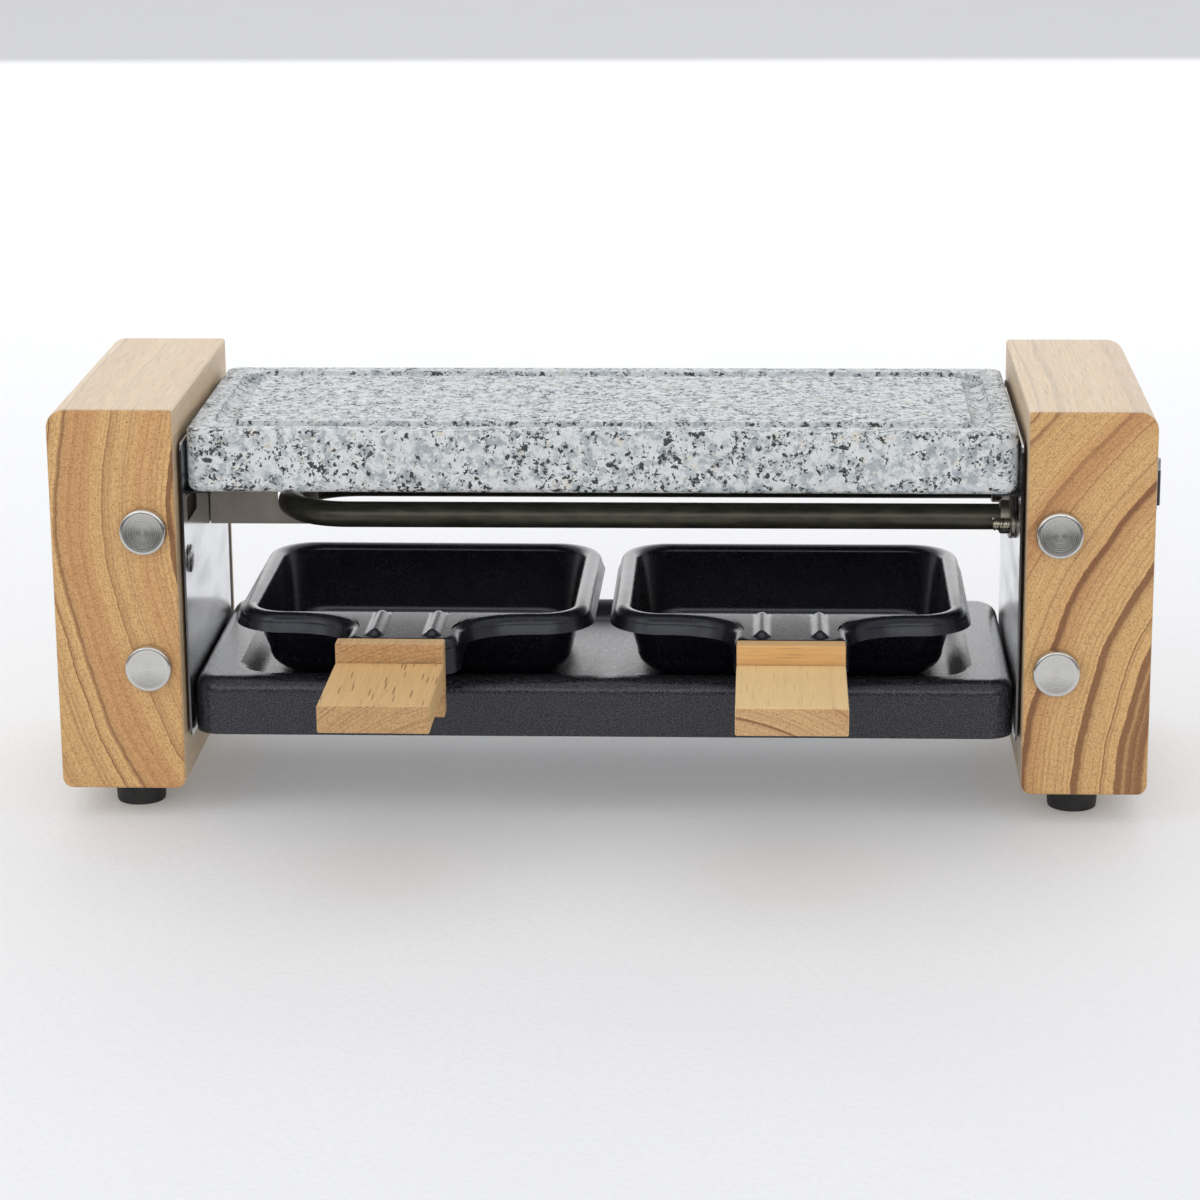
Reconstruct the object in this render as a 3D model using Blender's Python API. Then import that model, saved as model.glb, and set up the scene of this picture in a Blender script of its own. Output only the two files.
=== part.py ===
"""Tabletop raclette grill: two wooden end blocks, a granite plate over a U heater, and two pans.

X runs along the grill, -Y is the front where the pan handles stand out, and +Z is up. Lengths are
in metres. The origin lies under the middle of the whole object's box, on the table.
"""

import math

import bmesh
import bpy
from mathutils import Matrix, Vector

# Fits shared by all pieces
gap = 0.0003
overrun = 0.002
sharp_angle = math.radians(38)
corner_steps = 4
fine_corner_steps = 2
hole_sides = 10

# Turns that face a piece made along +Z the way it looks
facing_front = (math.pi / 2, 0, 0)
facing_back = (-math.pi / 2, 0, 0)
facing_down = (math.pi, 0, 0)

# End blocks, solid wood
stand_length = 0.330
block_thickness = 0.038
block_depth = 0.110
block_height = 0.1184
block_outer_top_radius = 0.0058
block_inner_top_radius = 0.0009
block_bottom_radius = 0.0032
block_arris_radius = 0.0010
arris_steps = 3

# Rubber feet and their screws
foot_height = 0.009
foot_radius = 0.008
foot_taper = 0.0005
foot_edge = 0.0008
foot_inset_x = 0.021
foot_inset_y = 0.018
foot_recess_radius = 0.0042
foot_recess_depth = 0.0046
foot_screw_length = 0.018
foot_screw_head_radius = 0.0036

# Cap bolts on the front and back of the blocks
cap_radius = 0.007
cap_height = 0.0033
cap_chamfer = 0.0006
cap_dish = 0.0003
cap_shank_radius = 0.003
cap_bore_wall = 0.0025
cap_inset_x = 0.0096
cap_low_height = 0.048
cap_high_height = 0.0906
cap_sides = 14

# Small screws
screw_radius = 0.002
screw_head_radius = 0.00435
screw_head_height = 0.0022
screw_tip = 0.002
screw_length = 0.014
screw_sides = 8
screw_dome_shares = ((0.0, 1.0), (0.6, 0.82), (1.0, 0.25), (1.0, 0.0))

# Insulating boards and polished side plates on the blocks' inner faces
shield_thickness = 0.0005
shield_front_inset = 0.009
shield_back_inset = 0.008
plate_thickness = 0.0006
plate_front_inset = 0.005
plate_back_inset = 0.019
plate_low = 0.024
plate_high = 0.116
plate_corner_radius = 0.002
plate_screw_inset = 0.013
plate_screw_drop = 0.0085
plate_screw_head_height = 0.0009

# Ledges lanced out of the side plates, which carry the stone
ledge_width = 0.0075
front_ledge_length = 0.018
back_ledge_length = 0.009
ledge_leg_gap = 0.00065
ledge_bend_radius = 0.0012

# Granite plate
stone_side_gap = 0.0006
stone_depth = 0.094
stone_height = 0.0194
stone_element_gap = 0.0090
stone_corner_radius = 0.0045
stone_bottom_radius = 0.003
stone_top_arris = 0.0008
groove_inset = 0.010
groove_width = 0.007
groove_depth = 0.0025
groove_corner_radius = 0.008
groove_steps = 6

# Enamelled base tray
tray_inset = 0.006
tray_top_height = 0.0423
tray_skirt_height = 0.0176
tray_sheet = 0.0009
tray_corner_radius = 0.008
tray_edge_radius = 0.0025
recess_end_border = 0.0130
recess_front_border = 0.0080
recess_back_border = 0.0057
recess_depth = 0.0049
recess_corner_radius = 0.012
recess_slope = 0.0038
recess_bend_radius = 0.0015
tray_bend_steps = 3
tray_screw_inset_y = 0.028
tray_screw_height = 0.033

# Heating element
element_radius = 0.0040
element_leg_spacing = 0.040
element_height = 0.087
element_end_gap = 0.0220
element_cold_end = 0.005
element_sides = 12
element_bend_steps = 12

# Element flange, its screws and the tube's collars
flange_thickness = 0.0012
flange_leg_radius = 0.0066
flange_ear_radius = 0.0036
flange_ear_spacing = 0.059
collar_radius = 0.0052
collar_length = 0.0029
stud_radius = 0.002
stud_reach = 0.0052
stud_head_radius = 0.0035
stud_head_height = 0.0024

# Element support strip at the left
support_sheet = 0.0012
support_reach = 0.034
support_half_height = 0.008
support_foot_length = 0.013
support_notch_radius = 0.0044
support_screw_offset = 0.0072

# Pans, measured from the underside of the bowl
pan_half_depth = 0.0455
pan_height = 0.0253
pan_sheet = 0.001
pan_corner_radius = 0.015
pan_rim_width = 0.0034
pan_rim_bend = 0.0022
pan_skirt_drop = 0.0054
pan_skirt_flare = 0.0010
pan_mouth_bend = 0.0022
pan_wall_run = 0.0044
pan_front_wall_run = 0.0135
pan_floor_bend = 0.008
pan_bend_steps = 3
pan_corner_steps = 4
pan_front_share = 0.98
pan_side_margin = 0.0138
pan_middle_gap = 0.0064
pan_front_inset = 0.005
left_pan_turn = math.radians(-0.5)
right_pan_turn = 0.0

# Pan tongue
tongue_half_width = 0.017
tongue_length = 0.0274
tongue_sweep_inset = 0.0015
tongue_sweep_depth = 0.013
tongue_end_radius = 0.003
tongue_flange_drop = 0.0105
tongue_sweep_steps = 4
tongue_side_shares = (0.5, 1.0)
rib_offset = 0.0086
rib_radius = 0.0024
rib_height = 0.0015
rib_sink = 0.0004
rib_end_inset = 0.0012
rib_arc_steps = 4
rib_station_shares = (0.0, 0.1, 0.75, 0.9, 1.0)
rib_size_shares = (0.35, 1.0, 1.0, 1.15, 0.5)

# Pan handle: an upright board and a flat grip
board_width = 0.032
board_thickness = 0.0058
board_height = 0.0226
board_rise = 0.0008
grip_length = 0.0432
grip_height = 0.0082
grip_drop = 0.0058
left_handle_shift = -0.0027
right_handle_shift = 0.0
handle_arris = 0.0006
handle_screw_length = 0.018
handle_screw_radius = 0.0015
handle_screw_head_radius = 0.0029
handle_screw_head_height = 0.0016

# Wiring pocket in the right block
pocket_depth = 0.027
pocket_end_gap = 0.003
pocket_drop = 0.011
pocket_rise = 0.020
pocket_corner_radius = 0.002

# Rocker switch on the right block's outer face
switch_end_gap = 0.001
switch_rise = 0.0125
bezel_length = 0.0212
bezel_width = 0.0152
bezel_thickness = 0.0019
bezel_corner_radius = 0.0015
bezel_edge = 0.0005
switch_body_length = 0.0200
switch_body_width = 0.0132
switch_body_depth = 0.017
switch_tab_spacing = 0.0066
well_length = 0.0188
well_width = 0.0116
well_depth = 0.0075
rocker_length = 0.0172
rocker_width = 0.0108
rocker_pivot_depth = 0.0021
rocker_end_height = 0.0062
rocker_middle_height = 0.0050
rocker_hub_drop = 0.0018
rocker_hub_length = 0.0086
rocker_edge = 0.0008
rocker_pin_radius = 0.0008
rocker_pin_length = 0.0006
rocker_pin_fit = 0.00006
rocker_pin_sides = 16
rocker_tilt = math.radians(6)

# Cord inlet at the back of the right block
inlet_x_inset = 0.014
inlet_drop = 0.005
inlet_bore_radius = 0.0035
inlet_barrel_radius = 0.0045
inlet_barrel_length = 0.013
inlet_flange_radius = 0.0062
inlet_flange_height = 0.0035
inlet_edge = 0.0012

# Connections inside the wiring pocket
pin_radius = 0.0012
pin_length = 0.0095
bush_radius = 0.0034
bush_length = 0.004
fuse_radius = 0.0022
fuse_length = 0.010
fuse_rise = 0.012
fuse_edge = 0.0006
terminal_length = 0.024
terminal_width = 0.012
terminal_height = 0.012
terminal_back_inset = 0.007
terminal_rise = 0.006
terminal_screw_rise = 0.0084
terminal_edge = 0.0008
lead_radius = 0.0009
lead_resolution = 3
lead_bevel_resolution = 1
lead_stub = 0.0028
lead_bend = 0.004
lead_slack = 0.008

# Places worked out from the sizes above
block_inner_x = stand_length / 2 - block_thickness
block_front_y = -block_depth / 2
block_back_y = block_depth / 2
block_top = foot_height + block_height
cap_shank_length = plate_screw_inset - screw_radius - cap_bore_wall
plate_screw_height = element_height - plate_screw_drop
stone_seat_height = element_height + element_radius + stone_element_gap
ledge_top = stone_seat_height - gap
ledge_under = ledge_top - plate_thickness
shield_inner_x = block_inner_x - gap - shield_thickness
plate_inner_x = shield_inner_x - gap - plate_thickness
tray_half_length = plate_inner_x - gap
tray_depth = block_depth - 2 * tray_inset
recess_half_length = tray_half_length - recess_end_border
pan_half_width = (tray_half_length - pan_side_margin - pan_middle_gap / 2) / 2
pan_spacing = 2 * pan_half_width + pan_middle_gap
tongue_sweep_reach = pan_half_width - pan_corner_radius - tongue_sweep_inset
tongue_sweep_width = tongue_sweep_reach - tongue_half_width
tray_floor_height = tray_top_height - recess_depth
pan_seat_height = tray_floor_height + gap
pan_y = block_front_y + pan_front_inset + pan_half_depth
tongue_end = pan_half_depth + tongue_length
board_back = tongue_end + gap
grip_back = board_back + board_thickness + gap
grip_front = grip_back + grip_length
flange_inner_x = plate_inner_x - gap - flange_thickness
element_end_x = block_inner_x + element_cold_end
element_bend_x = plate_inner_x - element_end_gap - element_radius - element_leg_spacing / 2
support_low = element_height - support_half_height
support_high = element_height + support_half_height
pocket_half_length = flange_ear_spacing / 2 + stud_head_radius + pocket_end_gap
pocket_low = element_height - pocket_drop
pocket_high = element_height + pocket_rise
switch_y = -(pocket_half_length - switch_end_gap - switch_body_length / 2)
switch_height = element_height + switch_rise
inlet_height = element_height - inlet_drop
fuse_height = element_height + fuse_rise
terminal_low = element_height + terminal_rise
stone_half_length = plate_inner_x - stone_side_gap
block_outer_x = stand_length / 2
switch_pivot_x = block_outer_x - rocker_pivot_depth


def remove_start_objects():
    """Clear whatever the scene opened with."""
    for item in list(bpy.data.objects):
        bpy.data.objects.remove(item)


def make_material(name, colour, roughness, metallic):
    """One plain surface finish."""
    material = bpy.data.materials.new(name)
    material.use_nodes = True
    shader = material.node_tree.nodes["Principled BSDF"]
    shader.inputs["Base Color"].default_value = (*colour, 1.0)
    shader.inputs["Roughness"].default_value = roughness
    shader.inputs["Metallic"].default_value = metallic
    return material


def finished_mesh(name, bm, smooth=True):
    """Turn faces outwards and hand over the mesh."""
    bmesh.ops.recalc_face_normals(bm, faces=bm.faces)
    mesh = bpy.data.meshes.new(name)
    bm.to_mesh(mesh)
    bm.free()
    if smooth:
        mesh.shade_smooth()
        mesh.set_sharp_from_angle(angle=sharp_angle)
    return mesh


def lofted_mesh(name, rings):
    """A closed body skinned over rings of equal count, with both ends filled."""
    bm = bmesh.new()
    loops = [[bm.verts.new(point) for point in ring] for ring in rings]
    count = len(loops[0])
    for lower, upper in zip(loops, loops[1:]):
        for index in range(count):
            after = (index + 1) % count
            bm.faces.new((lower[index], lower[after], upper[after], upper[index]))
    bm.faces.new(list(reversed(loops[0])))
    bm.faces.new(loops[-1])
    return finished_mesh(name, bm)


def turned_mesh(name, profile, sides, hollow=False):
    """A body turned about Z from (radius, height) points; a hollow one has a closed profile."""
    bm = bmesh.new()
    loops = []
    for radius, height in profile:
        if radius == 0:
            loops.append([bm.verts.new((0, 0, height))])
            continue
        ring = []
        for index in range(sides):
            angle = math.tau * index / sides
            ring.append(bm.verts.new((radius * math.cos(angle), radius * math.sin(angle), height)))
        loops.append(ring)
    pairs = list(zip(loops, loops[1:]))
    if hollow:
        pairs.append((loops[-1], loops[0]))
    for lower, upper in pairs:
        for index in range(sides):
            after = (index + 1) % sides
            corners = [lower[index % len(lower)], lower[after % len(lower)],
                       upper[after % len(upper)], upper[index % len(upper)]]
            bm.faces.new(list(dict.fromkeys(corners)))
    return finished_mesh(name, bm)


def rounded_outline(low, high, radii, steps=corner_steps):
    """Points round a rectangle, anticlockwise, each corner an arc of its own radius.

    The radii belong to the corners (high x, low y), (high, high), (low, high) and (low, low).
    """
    corners = ((high[0], low[1], -90), (high[0], high[1], 0), (low[0], high[1], 90),
               (low[0], low[1], 180))
    inward = ((-1, 1), (-1, -1), (1, -1), (1, 1))
    points = []
    for (across, along, start), (step_x, step_y), radius in zip(corners, inward, radii):
        centre_x = across + step_x * radius
        centre_y = along + step_y * radius
        for index in range(steps + 1):
            angle = math.radians(start) + math.pi / 2 * index / steps
            points.append((centre_x + radius * math.cos(angle), centre_y + radius * math.sin(angle)))
    return points


def level_ring(half_x, half_y, radius, height, centre_y=0.0, steps=corner_steps):
    """A rounded rectangle lying flat at one height."""
    outline = rounded_outline((-half_x, centre_y - half_y), (half_x, centre_y + half_y),
                              (radius,) * 4, steps)
    return [(across, along, height) for across, along in outline]


def slab_mesh(name, low, high, radius, arris, steps=fine_corner_steps):
    """A box between two corners, its upright edges rounded and its top and bottom edges eased."""
    half_x = (high[0] - low[0]) / 2
    half_y = (high[1] - low[1]) / 2
    middle = ((low[0] + high[0]) / 2, (low[1] + high[1]) / 2)
    rings = []
    for inset, height in ((arris, low[2]), (0, low[2] + arris), (0, high[2] - arris), (arris, high[2])):
        outline = rounded_outline((-half_x + inset, -half_y + inset), (half_x - inset, half_y - inset),
                                  (max(radius - inset, radius / 2),) * 4, steps)
        rings.append([(middle[0] + across, middle[1] + along, height) for across, along in outline])
    return lofted_mesh(name, rings)


def upright_sheet_mesh(name, near_x, far_x, outline):
    """A flat sheet in the Y-Z plane between two X places."""
    rings = [[(place, along, height) for along, height in outline] for place in (near_x, far_x)]
    return lofted_mesh(name, rings)


def rod_mesh(name, start, end, radius, sides=hole_sides):
    """A plain round bar from one point to another."""
    span = Vector(end) - Vector(start)
    mesh = turned_mesh(name, ((0, 0), (radius, 0), (radius, span.length), (0, span.length)), sides)
    turn = Vector((0, 0, 1)).rotation_difference(span).to_matrix().to_4x4()
    mesh.transform(Matrix.Translation(start) @ turn)
    return mesh


def place(name, mesh, material, parent, location=(0, 0, 0), rotation=(0, 0, 0)):
    """Put a mesh in the scene as one named piece."""
    if not mesh.materials:
        mesh.materials.append(material)
    piece = bpy.data.objects.new(name, mesh)
    bpy.context.scene.collection.objects.link(piece)
    piece.parent = parent
    piece.location = location
    piece.rotation_euler = rotation
    return piece


def place_empty(name, parent, location, rotation=(0, 0, 0)):
    """A frame that other pieces hang on."""
    empty = bpy.data.objects.new(name, None)
    bpy.context.scene.collection.objects.link(empty)
    empty.parent = parent
    empty.location = location
    empty.rotation_euler = rotation
    return empty


def reshape(mesh, tool_meshes, operation):
    """Cut meshes out of a mesh, or join them to it, one after another."""
    body = bpy.data.objects.new("body", mesh)
    bpy.context.scene.collection.objects.link(body)
    for tool_mesh in tool_meshes:
        tool = bpy.data.objects.new("tool", tool_mesh)
        bpy.context.scene.collection.objects.link(tool)
        change = body.modifiers.new("change", "BOOLEAN")
        change.operation = operation
        change.solver = "EXACT"
        change.object = tool
        body_now = body.evaluated_get(bpy.context.evaluated_depsgraph_get())
        changed = bpy.data.meshes.new_from_object(body_now)
        changed.name = mesh.name
        body.modifiers.clear()
        body.data = changed
        bpy.data.objects.remove(tool)
        bpy.data.meshes.remove(tool_mesh)
    result = body.data
    bpy.data.objects.remove(body)
    result.shade_smooth()
    result.set_sharp_from_angle(angle=sharp_angle)
    return result


def screw_mesh(name, head_radius, head_height, shank_radius, length, sides=screw_sides):
    """A domed screw with its head's seat at the origin and its head towards +Z."""
    profile = [(head_radius * across, head_height * up) for across, up in screw_dome_shares]
    profile += [(shank_radius, 0), (shank_radius, -length + screw_tip), (0, -length)]
    return turned_mesh(name, profile, sides)


def x_span(side, near, far):
    """Two X places on one side of the grill, the lower one first."""
    return tuple(sorted((side * near, side * far)))


def facing_middle(side):
    """Turn a piece made along +Z to look from a block towards the middle of the grill."""
    return (0, -side * math.pi / 2, 0)


def foot_places(side):
    """The two foot centres under one block."""
    across = side * (block_outer_x - foot_inset_x)
    return ((across, block_front_y + foot_inset_y), (across, block_back_y - foot_inset_y))


def cap_places(side):
    """X and Z of the two cap bolts on one end of a block."""
    across = side * (block_inner_x + cap_inset_x)
    return ((across, cap_low_height), (across, cap_high_height))


def ledge_spans():
    """Where each ledge on a side plate starts and ends along Y, clear of the heater's legs."""
    clear = element_leg_spacing / 2 + element_radius + gap + ledge_leg_gap
    return ((-clear - front_ledge_length, -clear), (clear, clear + back_ledge_length))


def tray_screw_places():
    """Y and Z of the two screws through each end skirt of the tray."""
    along = tray_depth / 2 - tray_screw_inset_y
    return ((-along, tray_screw_height), (along, tray_screw_height))


def side_screw_places(side):
    """Y and Z of all the screws driven through a side plate into its block, the flange's apart."""
    if side > 0:
        return tray_screw_places()
    return tray_screw_places() + ((block_front_y + plate_screw_inset, plate_screw_height),
                                  (support_screw_offset, element_height))


def block_outline(side, inset):
    """The end block's front view with its four different corners."""
    low_x, high_x = x_span(side, block_inner_x, block_outer_x)
    radii = [block_bottom_radius, block_outer_top_radius, block_inner_top_radius, block_bottom_radius]
    if side < 0:
        radii[1], radii[2] = radii[2], radii[1]
    least = block_inner_top_radius / 2
    return rounded_outline((low_x + inset, foot_height + inset), (high_x - inset, block_top - inset),
                           [max(radius - inset, least) for radius in radii])


def block_mesh(side):
    """A solid block with eased arrises, bored for its bolts and screws."""
    rings = []
    stations = []
    for index in range(arris_steps + 1):
        angle = math.pi / 2 * index / arris_steps
        stations.append((block_arris_radius * (1 - math.sin(angle)),
                         block_arris_radius * (1 - math.cos(angle))))
    for inset, back in stations:
        rings.append([(across, block_front_y + back, up) for across, up in block_outline(side, inset)])
    for inset, back in reversed(stations):
        rings.append([(across, block_back_y - back, up) for across, up in block_outline(side, inset)])
    mesh = lofted_mesh("block", rings)
    tools = []
    for across, up in cap_places(side):
        reach = cap_shank_length + gap
        for face, inward in ((block_front_y, 1), (block_back_y, -1)):
            tools.append(rod_mesh("bore", (across, face - inward * overrun, up),
                                  (across, face + inward * reach, up), cap_shank_radius + gap))
    for across, along in foot_places(side):
        top = foot_recess_depth + foot_screw_length + gap
        tools.append(rod_mesh("bore", (across, along, foot_height - overrun), (across, along, top),
                              screw_radius + gap))
    deep = block_inner_x + screw_length
    for along, up in side_screw_places(side):
        tools.append(rod_mesh("bore", (side * (block_inner_x - overrun), along, up),
                              (side * deep, along, up), screw_radius + gap))
    if side > 0:
        tools += wiring_tools()
    return reshape(mesh, tools, "DIFFERENCE")


def wiring_tools():
    """The pocket, switch opening and cord hole of the right block."""
    outline = rounded_outline((-pocket_half_length, pocket_low), (pocket_half_length, pocket_high),
                              (pocket_corner_radius,) * 4, fine_corner_steps)
    pocket = upright_sheet_mesh("pocket", block_inner_x - overrun, block_inner_x + pocket_depth, outline)
    half_y = switch_body_length / 2 + gap
    half_z = switch_body_width / 2 + gap
    outline = rounded_outline((switch_y - half_y, switch_height - half_z),
                              (switch_y + half_y, switch_height + half_z), (bezel_corner_radius,) * 4,
                              fine_corner_steps)
    opening = upright_sheet_mesh("opening", block_inner_x + pocket_depth - overrun,
                                 block_outer_x + overrun, outline)
    inlet_x = block_outer_x - inlet_x_inset
    cord_hole = rod_mesh("cord_hole", (inlet_x, pocket_half_length - overrun, inlet_height),
                         (inlet_x, block_back_y + overrun, inlet_height), inlet_barrel_radius + gap)
    return [pocket, opening, cord_hole]


def build_blocks(stand, wood, steel, rubber):
    """Both end blocks with their feet and cap bolts."""
    profile = [(0, cap_height - cap_dish), (cap_radius - cap_chamfer, cap_height),
               (cap_radius, cap_height - cap_chamfer),
               (cap_radius, 0), (cap_shank_radius, 0), (cap_shank_radius, -cap_shank_length),
               (0, -cap_shank_length)]
    cap_mesh = turned_mesh("cap_bolt", profile, cap_sides)
    top = foot_height - gap
    profile = [(foot_radius - foot_taper - foot_edge, 0), (foot_radius - foot_taper, foot_edge),
               (foot_radius, top), (screw_radius + gap, top),
               (screw_radius + gap, foot_recess_depth), (foot_recess_radius, foot_recess_depth),
               (foot_recess_radius, 0)]
    foot_mesh = turned_mesh("foot", profile, cap_sides, hollow=True)
    foot_screw_mesh = screw_mesh("foot_screw", foot_screw_head_radius, screw_head_height,
                                 screw_radius, foot_screw_length)
    for side, word in ((-1, "left"), (1, "right")):
        place(word + "_end_block", block_mesh(side), wood, stand)
        for (across, up), level in zip(cap_places(side), ("lower", "upper")):
            place(f"{word}_front_{level}_bolt", cap_mesh, steel, stand,
                  (across, block_front_y - gap, up), facing_front)
            place(f"{word}_back_{level}_bolt", cap_mesh, steel, stand,
                  (across, block_back_y + gap, up), facing_back)
        for (across, along), end in zip(foot_places(side), ("front", "back")):
            place(f"{word}_{end}_foot", foot_mesh, rubber, stand, (across, along, 0))
            place(f"{word}_{end}_foot_screw", foot_screw_mesh, steel, stand,
                  (across, along, foot_recess_depth - gap), facing_down)


def element_tools(near_x, far_x):
    """Holes for the heater's two legs and the flange's two screws."""
    tools = []
    for end in (-1, 1):
        leg_y = end * element_leg_spacing / 2
        ear_y = end * flange_ear_spacing / 2
        tools.append(rod_mesh("leg_hole", (near_x, leg_y, element_height), (far_x, leg_y, element_height),
                              element_radius + gap))
        tools.append(rod_mesh("stud_hole", (near_x, ear_y, element_height), (far_x, ear_y, element_height),
                              stud_radius + gap))
    return tools


def side_sheet_mesh(side, near_x, thickness, front_inset, back_inset):
    """A board or plate against a block's inner face, bored for all that passes through it."""
    outline = rounded_outline((block_front_y + front_inset, plate_low),
                              (block_back_y - back_inset, plate_high), (plate_corner_radius,) * 4,
                              fine_corner_steps)
    low_x, high_x = x_span(side, near_x, near_x + thickness)
    mesh = upright_sheet_mesh("side_sheet", low_x, high_x, outline)
    tools = []
    for along, up in side_screw_places(side):
        tools.append(rod_mesh("screw_hole", (low_x - overrun, along, up), (high_x + overrun, along, up),
                              screw_radius + gap))
    if side > 0:
        tools += element_tools(low_x - overrun, high_x + overrun)
    return reshape(mesh, tools, "DIFFERENCE")


def ledge_mesh(side, span):
    """A tab lanced from the plate and bent level, drawn as its side view run along Y."""
    outer = plate_inner_x + plate_thickness / 2
    tip = plate_inner_x - ledge_width
    profile = [(tip, ledge_top), (tip, ledge_under)]
    for index in range(corner_steps + 1):
        angle = math.pi / 2 * index / corner_steps
        profile.append((plate_inner_x - ledge_bend_radius * (1 - math.sin(angle)),
                        ledge_under - ledge_bend_radius * (1 - math.cos(angle))))
    profile += [(outer, ledge_under - ledge_bend_radius), (outer, ledge_top)]
    rings = [[(side * across, along, up) for across, up in profile] for along in span]
    return lofted_mesh("ledge", rings)


def ledge_window_mesh(side, span):
    """The opening that a lanced tab leaves below its bend."""
    low_x, high_x = x_span(side, plate_inner_x - overrun, plate_inner_x + plate_thickness + overrun)
    top = ledge_under - ledge_bend_radius - gap
    outline = rounded_outline((span[0], top - ledge_width), (span[1], top),
                              (plate_corner_radius / 2,) * 4, fine_corner_steps)
    return upright_sheet_mesh("window", low_x, high_x, outline)


def build_side_plates(stand, board_finish, plate_finish, steel):
    """The boards and plates on both blocks, and the flat screw that shows on the left plate."""
    for side, word in ((-1, "left"), (1, "right")):
        shield = side_sheet_mesh(side, shield_inner_x, shield_thickness, shield_front_inset,
                                 shield_back_inset)
        place(word + "_heat_shield", shield, board_finish, stand)
        plate = side_sheet_mesh(side, plate_inner_x, plate_thickness, plate_front_inset,
                                plate_back_inset)
        plate = reshape(plate, [ledge_window_mesh(side, span) for span in ledge_spans()], "DIFFERENCE")
        plate = reshape(plate, [ledge_mesh(side, span) for span in ledge_spans()], "UNION")
        place(word + "_side_plate", plate, plate_finish, stand)
    plate_screw = screw_mesh("plate_screw", screw_head_radius, plate_screw_head_height, screw_radius,
                             screw_length)
    place("left_plate_screw", plate_screw, steel, stand,
          (-plate_inner_x + gap, block_front_y + plate_screw_inset, plate_screw_height),
          facing_middle(-1))


def stone_mesh():
    """The granite plate with a juice groove run round its top."""
    half_x = stone_half_length
    half_y = stone_depth / 2
    rings = []
    for index in range(arris_steps + 1):
        angle = math.pi / 2 * index / arris_steps
        inset = stone_bottom_radius * (1 - math.sin(angle))
        rings.append(level_ring(half_x - inset, half_y - inset, stone_corner_radius - inset,
                                stone_bottom_radius * (1 - math.cos(angle))))
    for index in range(arris_steps):
        angle = math.pi / 2 * index / (arris_steps - 1)
        inset = stone_top_arris * (1 - math.cos(angle))
        rings.append(level_ring(half_x - inset, half_y - inset, stone_corner_radius - inset,
                                stone_height - stone_top_arris * (1 - math.sin(angle))))
    for index in range(groove_steps + 1):
        angle = math.pi * index / groove_steps
        inset = groove_inset - groove_width / 2 * math.cos(angle)
        radius = groove_corner_radius + groove_inset - inset
        rings.append(level_ring(half_x - inset, half_y - inset, radius,
                                stone_height - groove_depth * math.sin(angle)))
    return lofted_mesh("stone", rings)


def tray_mesh():
    """A stamped tray: a skirt all round, a flat border and one sunken bed for the pans."""
    half_y = tray_depth / 2
    top = tray_top_height
    bottom = top - tray_skirt_height
    bed_half_y = (tray_depth - recess_front_border - recess_back_border) / 2
    bed_y = (recess_front_border - recess_back_border) / 2

    def bed_ring(inset, height):
        return level_ring(recess_half_length - inset, bed_half_y - inset,
                          recess_corner_radius - inset, height, bed_y)

    def skirt_ring(inset, height):
        return level_ring(tray_half_length - inset, half_y - inset, tray_corner_radius - inset, height)

    def sheet_side(thickness):
        """One face of the sheet, from the middle of the bed out to the skirt's lower edge."""
        rings = []
        steps = [math.pi / 2 * index / tray_bend_steps for index in range(tray_bend_steps + 1)]
        low_bend = recess_bend_radius + thickness
        high_bend = recess_bend_radius - thickness / 2
        floor = tray_floor_height - thickness
        for angle in steps:
            rings.append(bed_ring(recess_slope - thickness + low_bend * (1 - math.sin(angle)),
                                  floor + low_bend * (1 - math.cos(angle))))
        for angle in reversed(steps):
            rings.append(bed_ring(-thickness - high_bend * (1 - math.sin(angle)),
                                  top - thickness - high_bend * (1 - math.cos(angle))))
        edge = tray_edge_radius - thickness
        for angle in steps:
            rings.append(skirt_ring(thickness + edge * (1 - math.sin(angle)),
                                    top - thickness - edge * (1 - math.cos(angle))))
        rings.append(skirt_ring(thickness, bottom))
        return rings

    mesh = lofted_mesh("tray", sheet_side(0) + list(reversed(sheet_side(tray_sheet))))
    tools = []
    for side in (-1, 1):
        for along, up in tray_screw_places():
            near = side * (tray_half_length - tray_sheet - overrun)
            far = side * (tray_half_length + overrun)
            tools.append(rod_mesh("screw_hole", (near, along, up), (far, along, up), screw_radius + gap))
    return reshape(mesh, tools, "DIFFERENCE")


def build_tray(stand, enamel, steel):
    """The base tray and the four screws through its end skirts."""
    place("base_tray", tray_mesh(), enamel, stand)
    tray_screw = screw_mesh("tray_screw", screw_head_radius, screw_head_height, screw_radius,
                            screw_length)
    for side, word in ((-1, "left"), (1, "right")):
        for (along, up), end in zip(tray_screw_places(), ("front", "back")):
            place(f"{word}_{end}_tray_screw", tray_screw, steel, stand,
                  (side * (tray_half_length - tray_sheet - gap), along, up), facing_middle(side))


def element_mesh():
    """A round tube swept down one leg, round the bend and back along the other leg."""
    half = element_leg_spacing / 2
    path = [(Vector((element_end_x, -half, 0)), Vector((-1, 0, 0)))]
    for index in range(element_bend_steps + 1):
        angle = -math.pi / 2 - math.pi * index / element_bend_steps
        centre = Vector((-element_bend_x, 0, 0))
        spoke = Vector((math.cos(angle), math.sin(angle), 0))
        path.append((centre + spoke * half, Vector((spoke.y, -spoke.x, 0))))
    path.append((Vector((element_end_x, half, 0)), Vector((1, 0, 0))))
    rings = []
    for point, heading in path:
        outward = heading.cross(Vector((0, 0, 1)))
        ring = []
        for index in range(element_sides):
            angle = math.tau * index / element_sides
            offset = outward * math.cos(angle) + Vector((0, 0, 1)) * math.sin(angle)
            ring.append(point + offset * element_radius + Vector((0, 0, element_height)))
        rings.append(ring)
    return lofted_mesh("element", rings)


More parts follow.
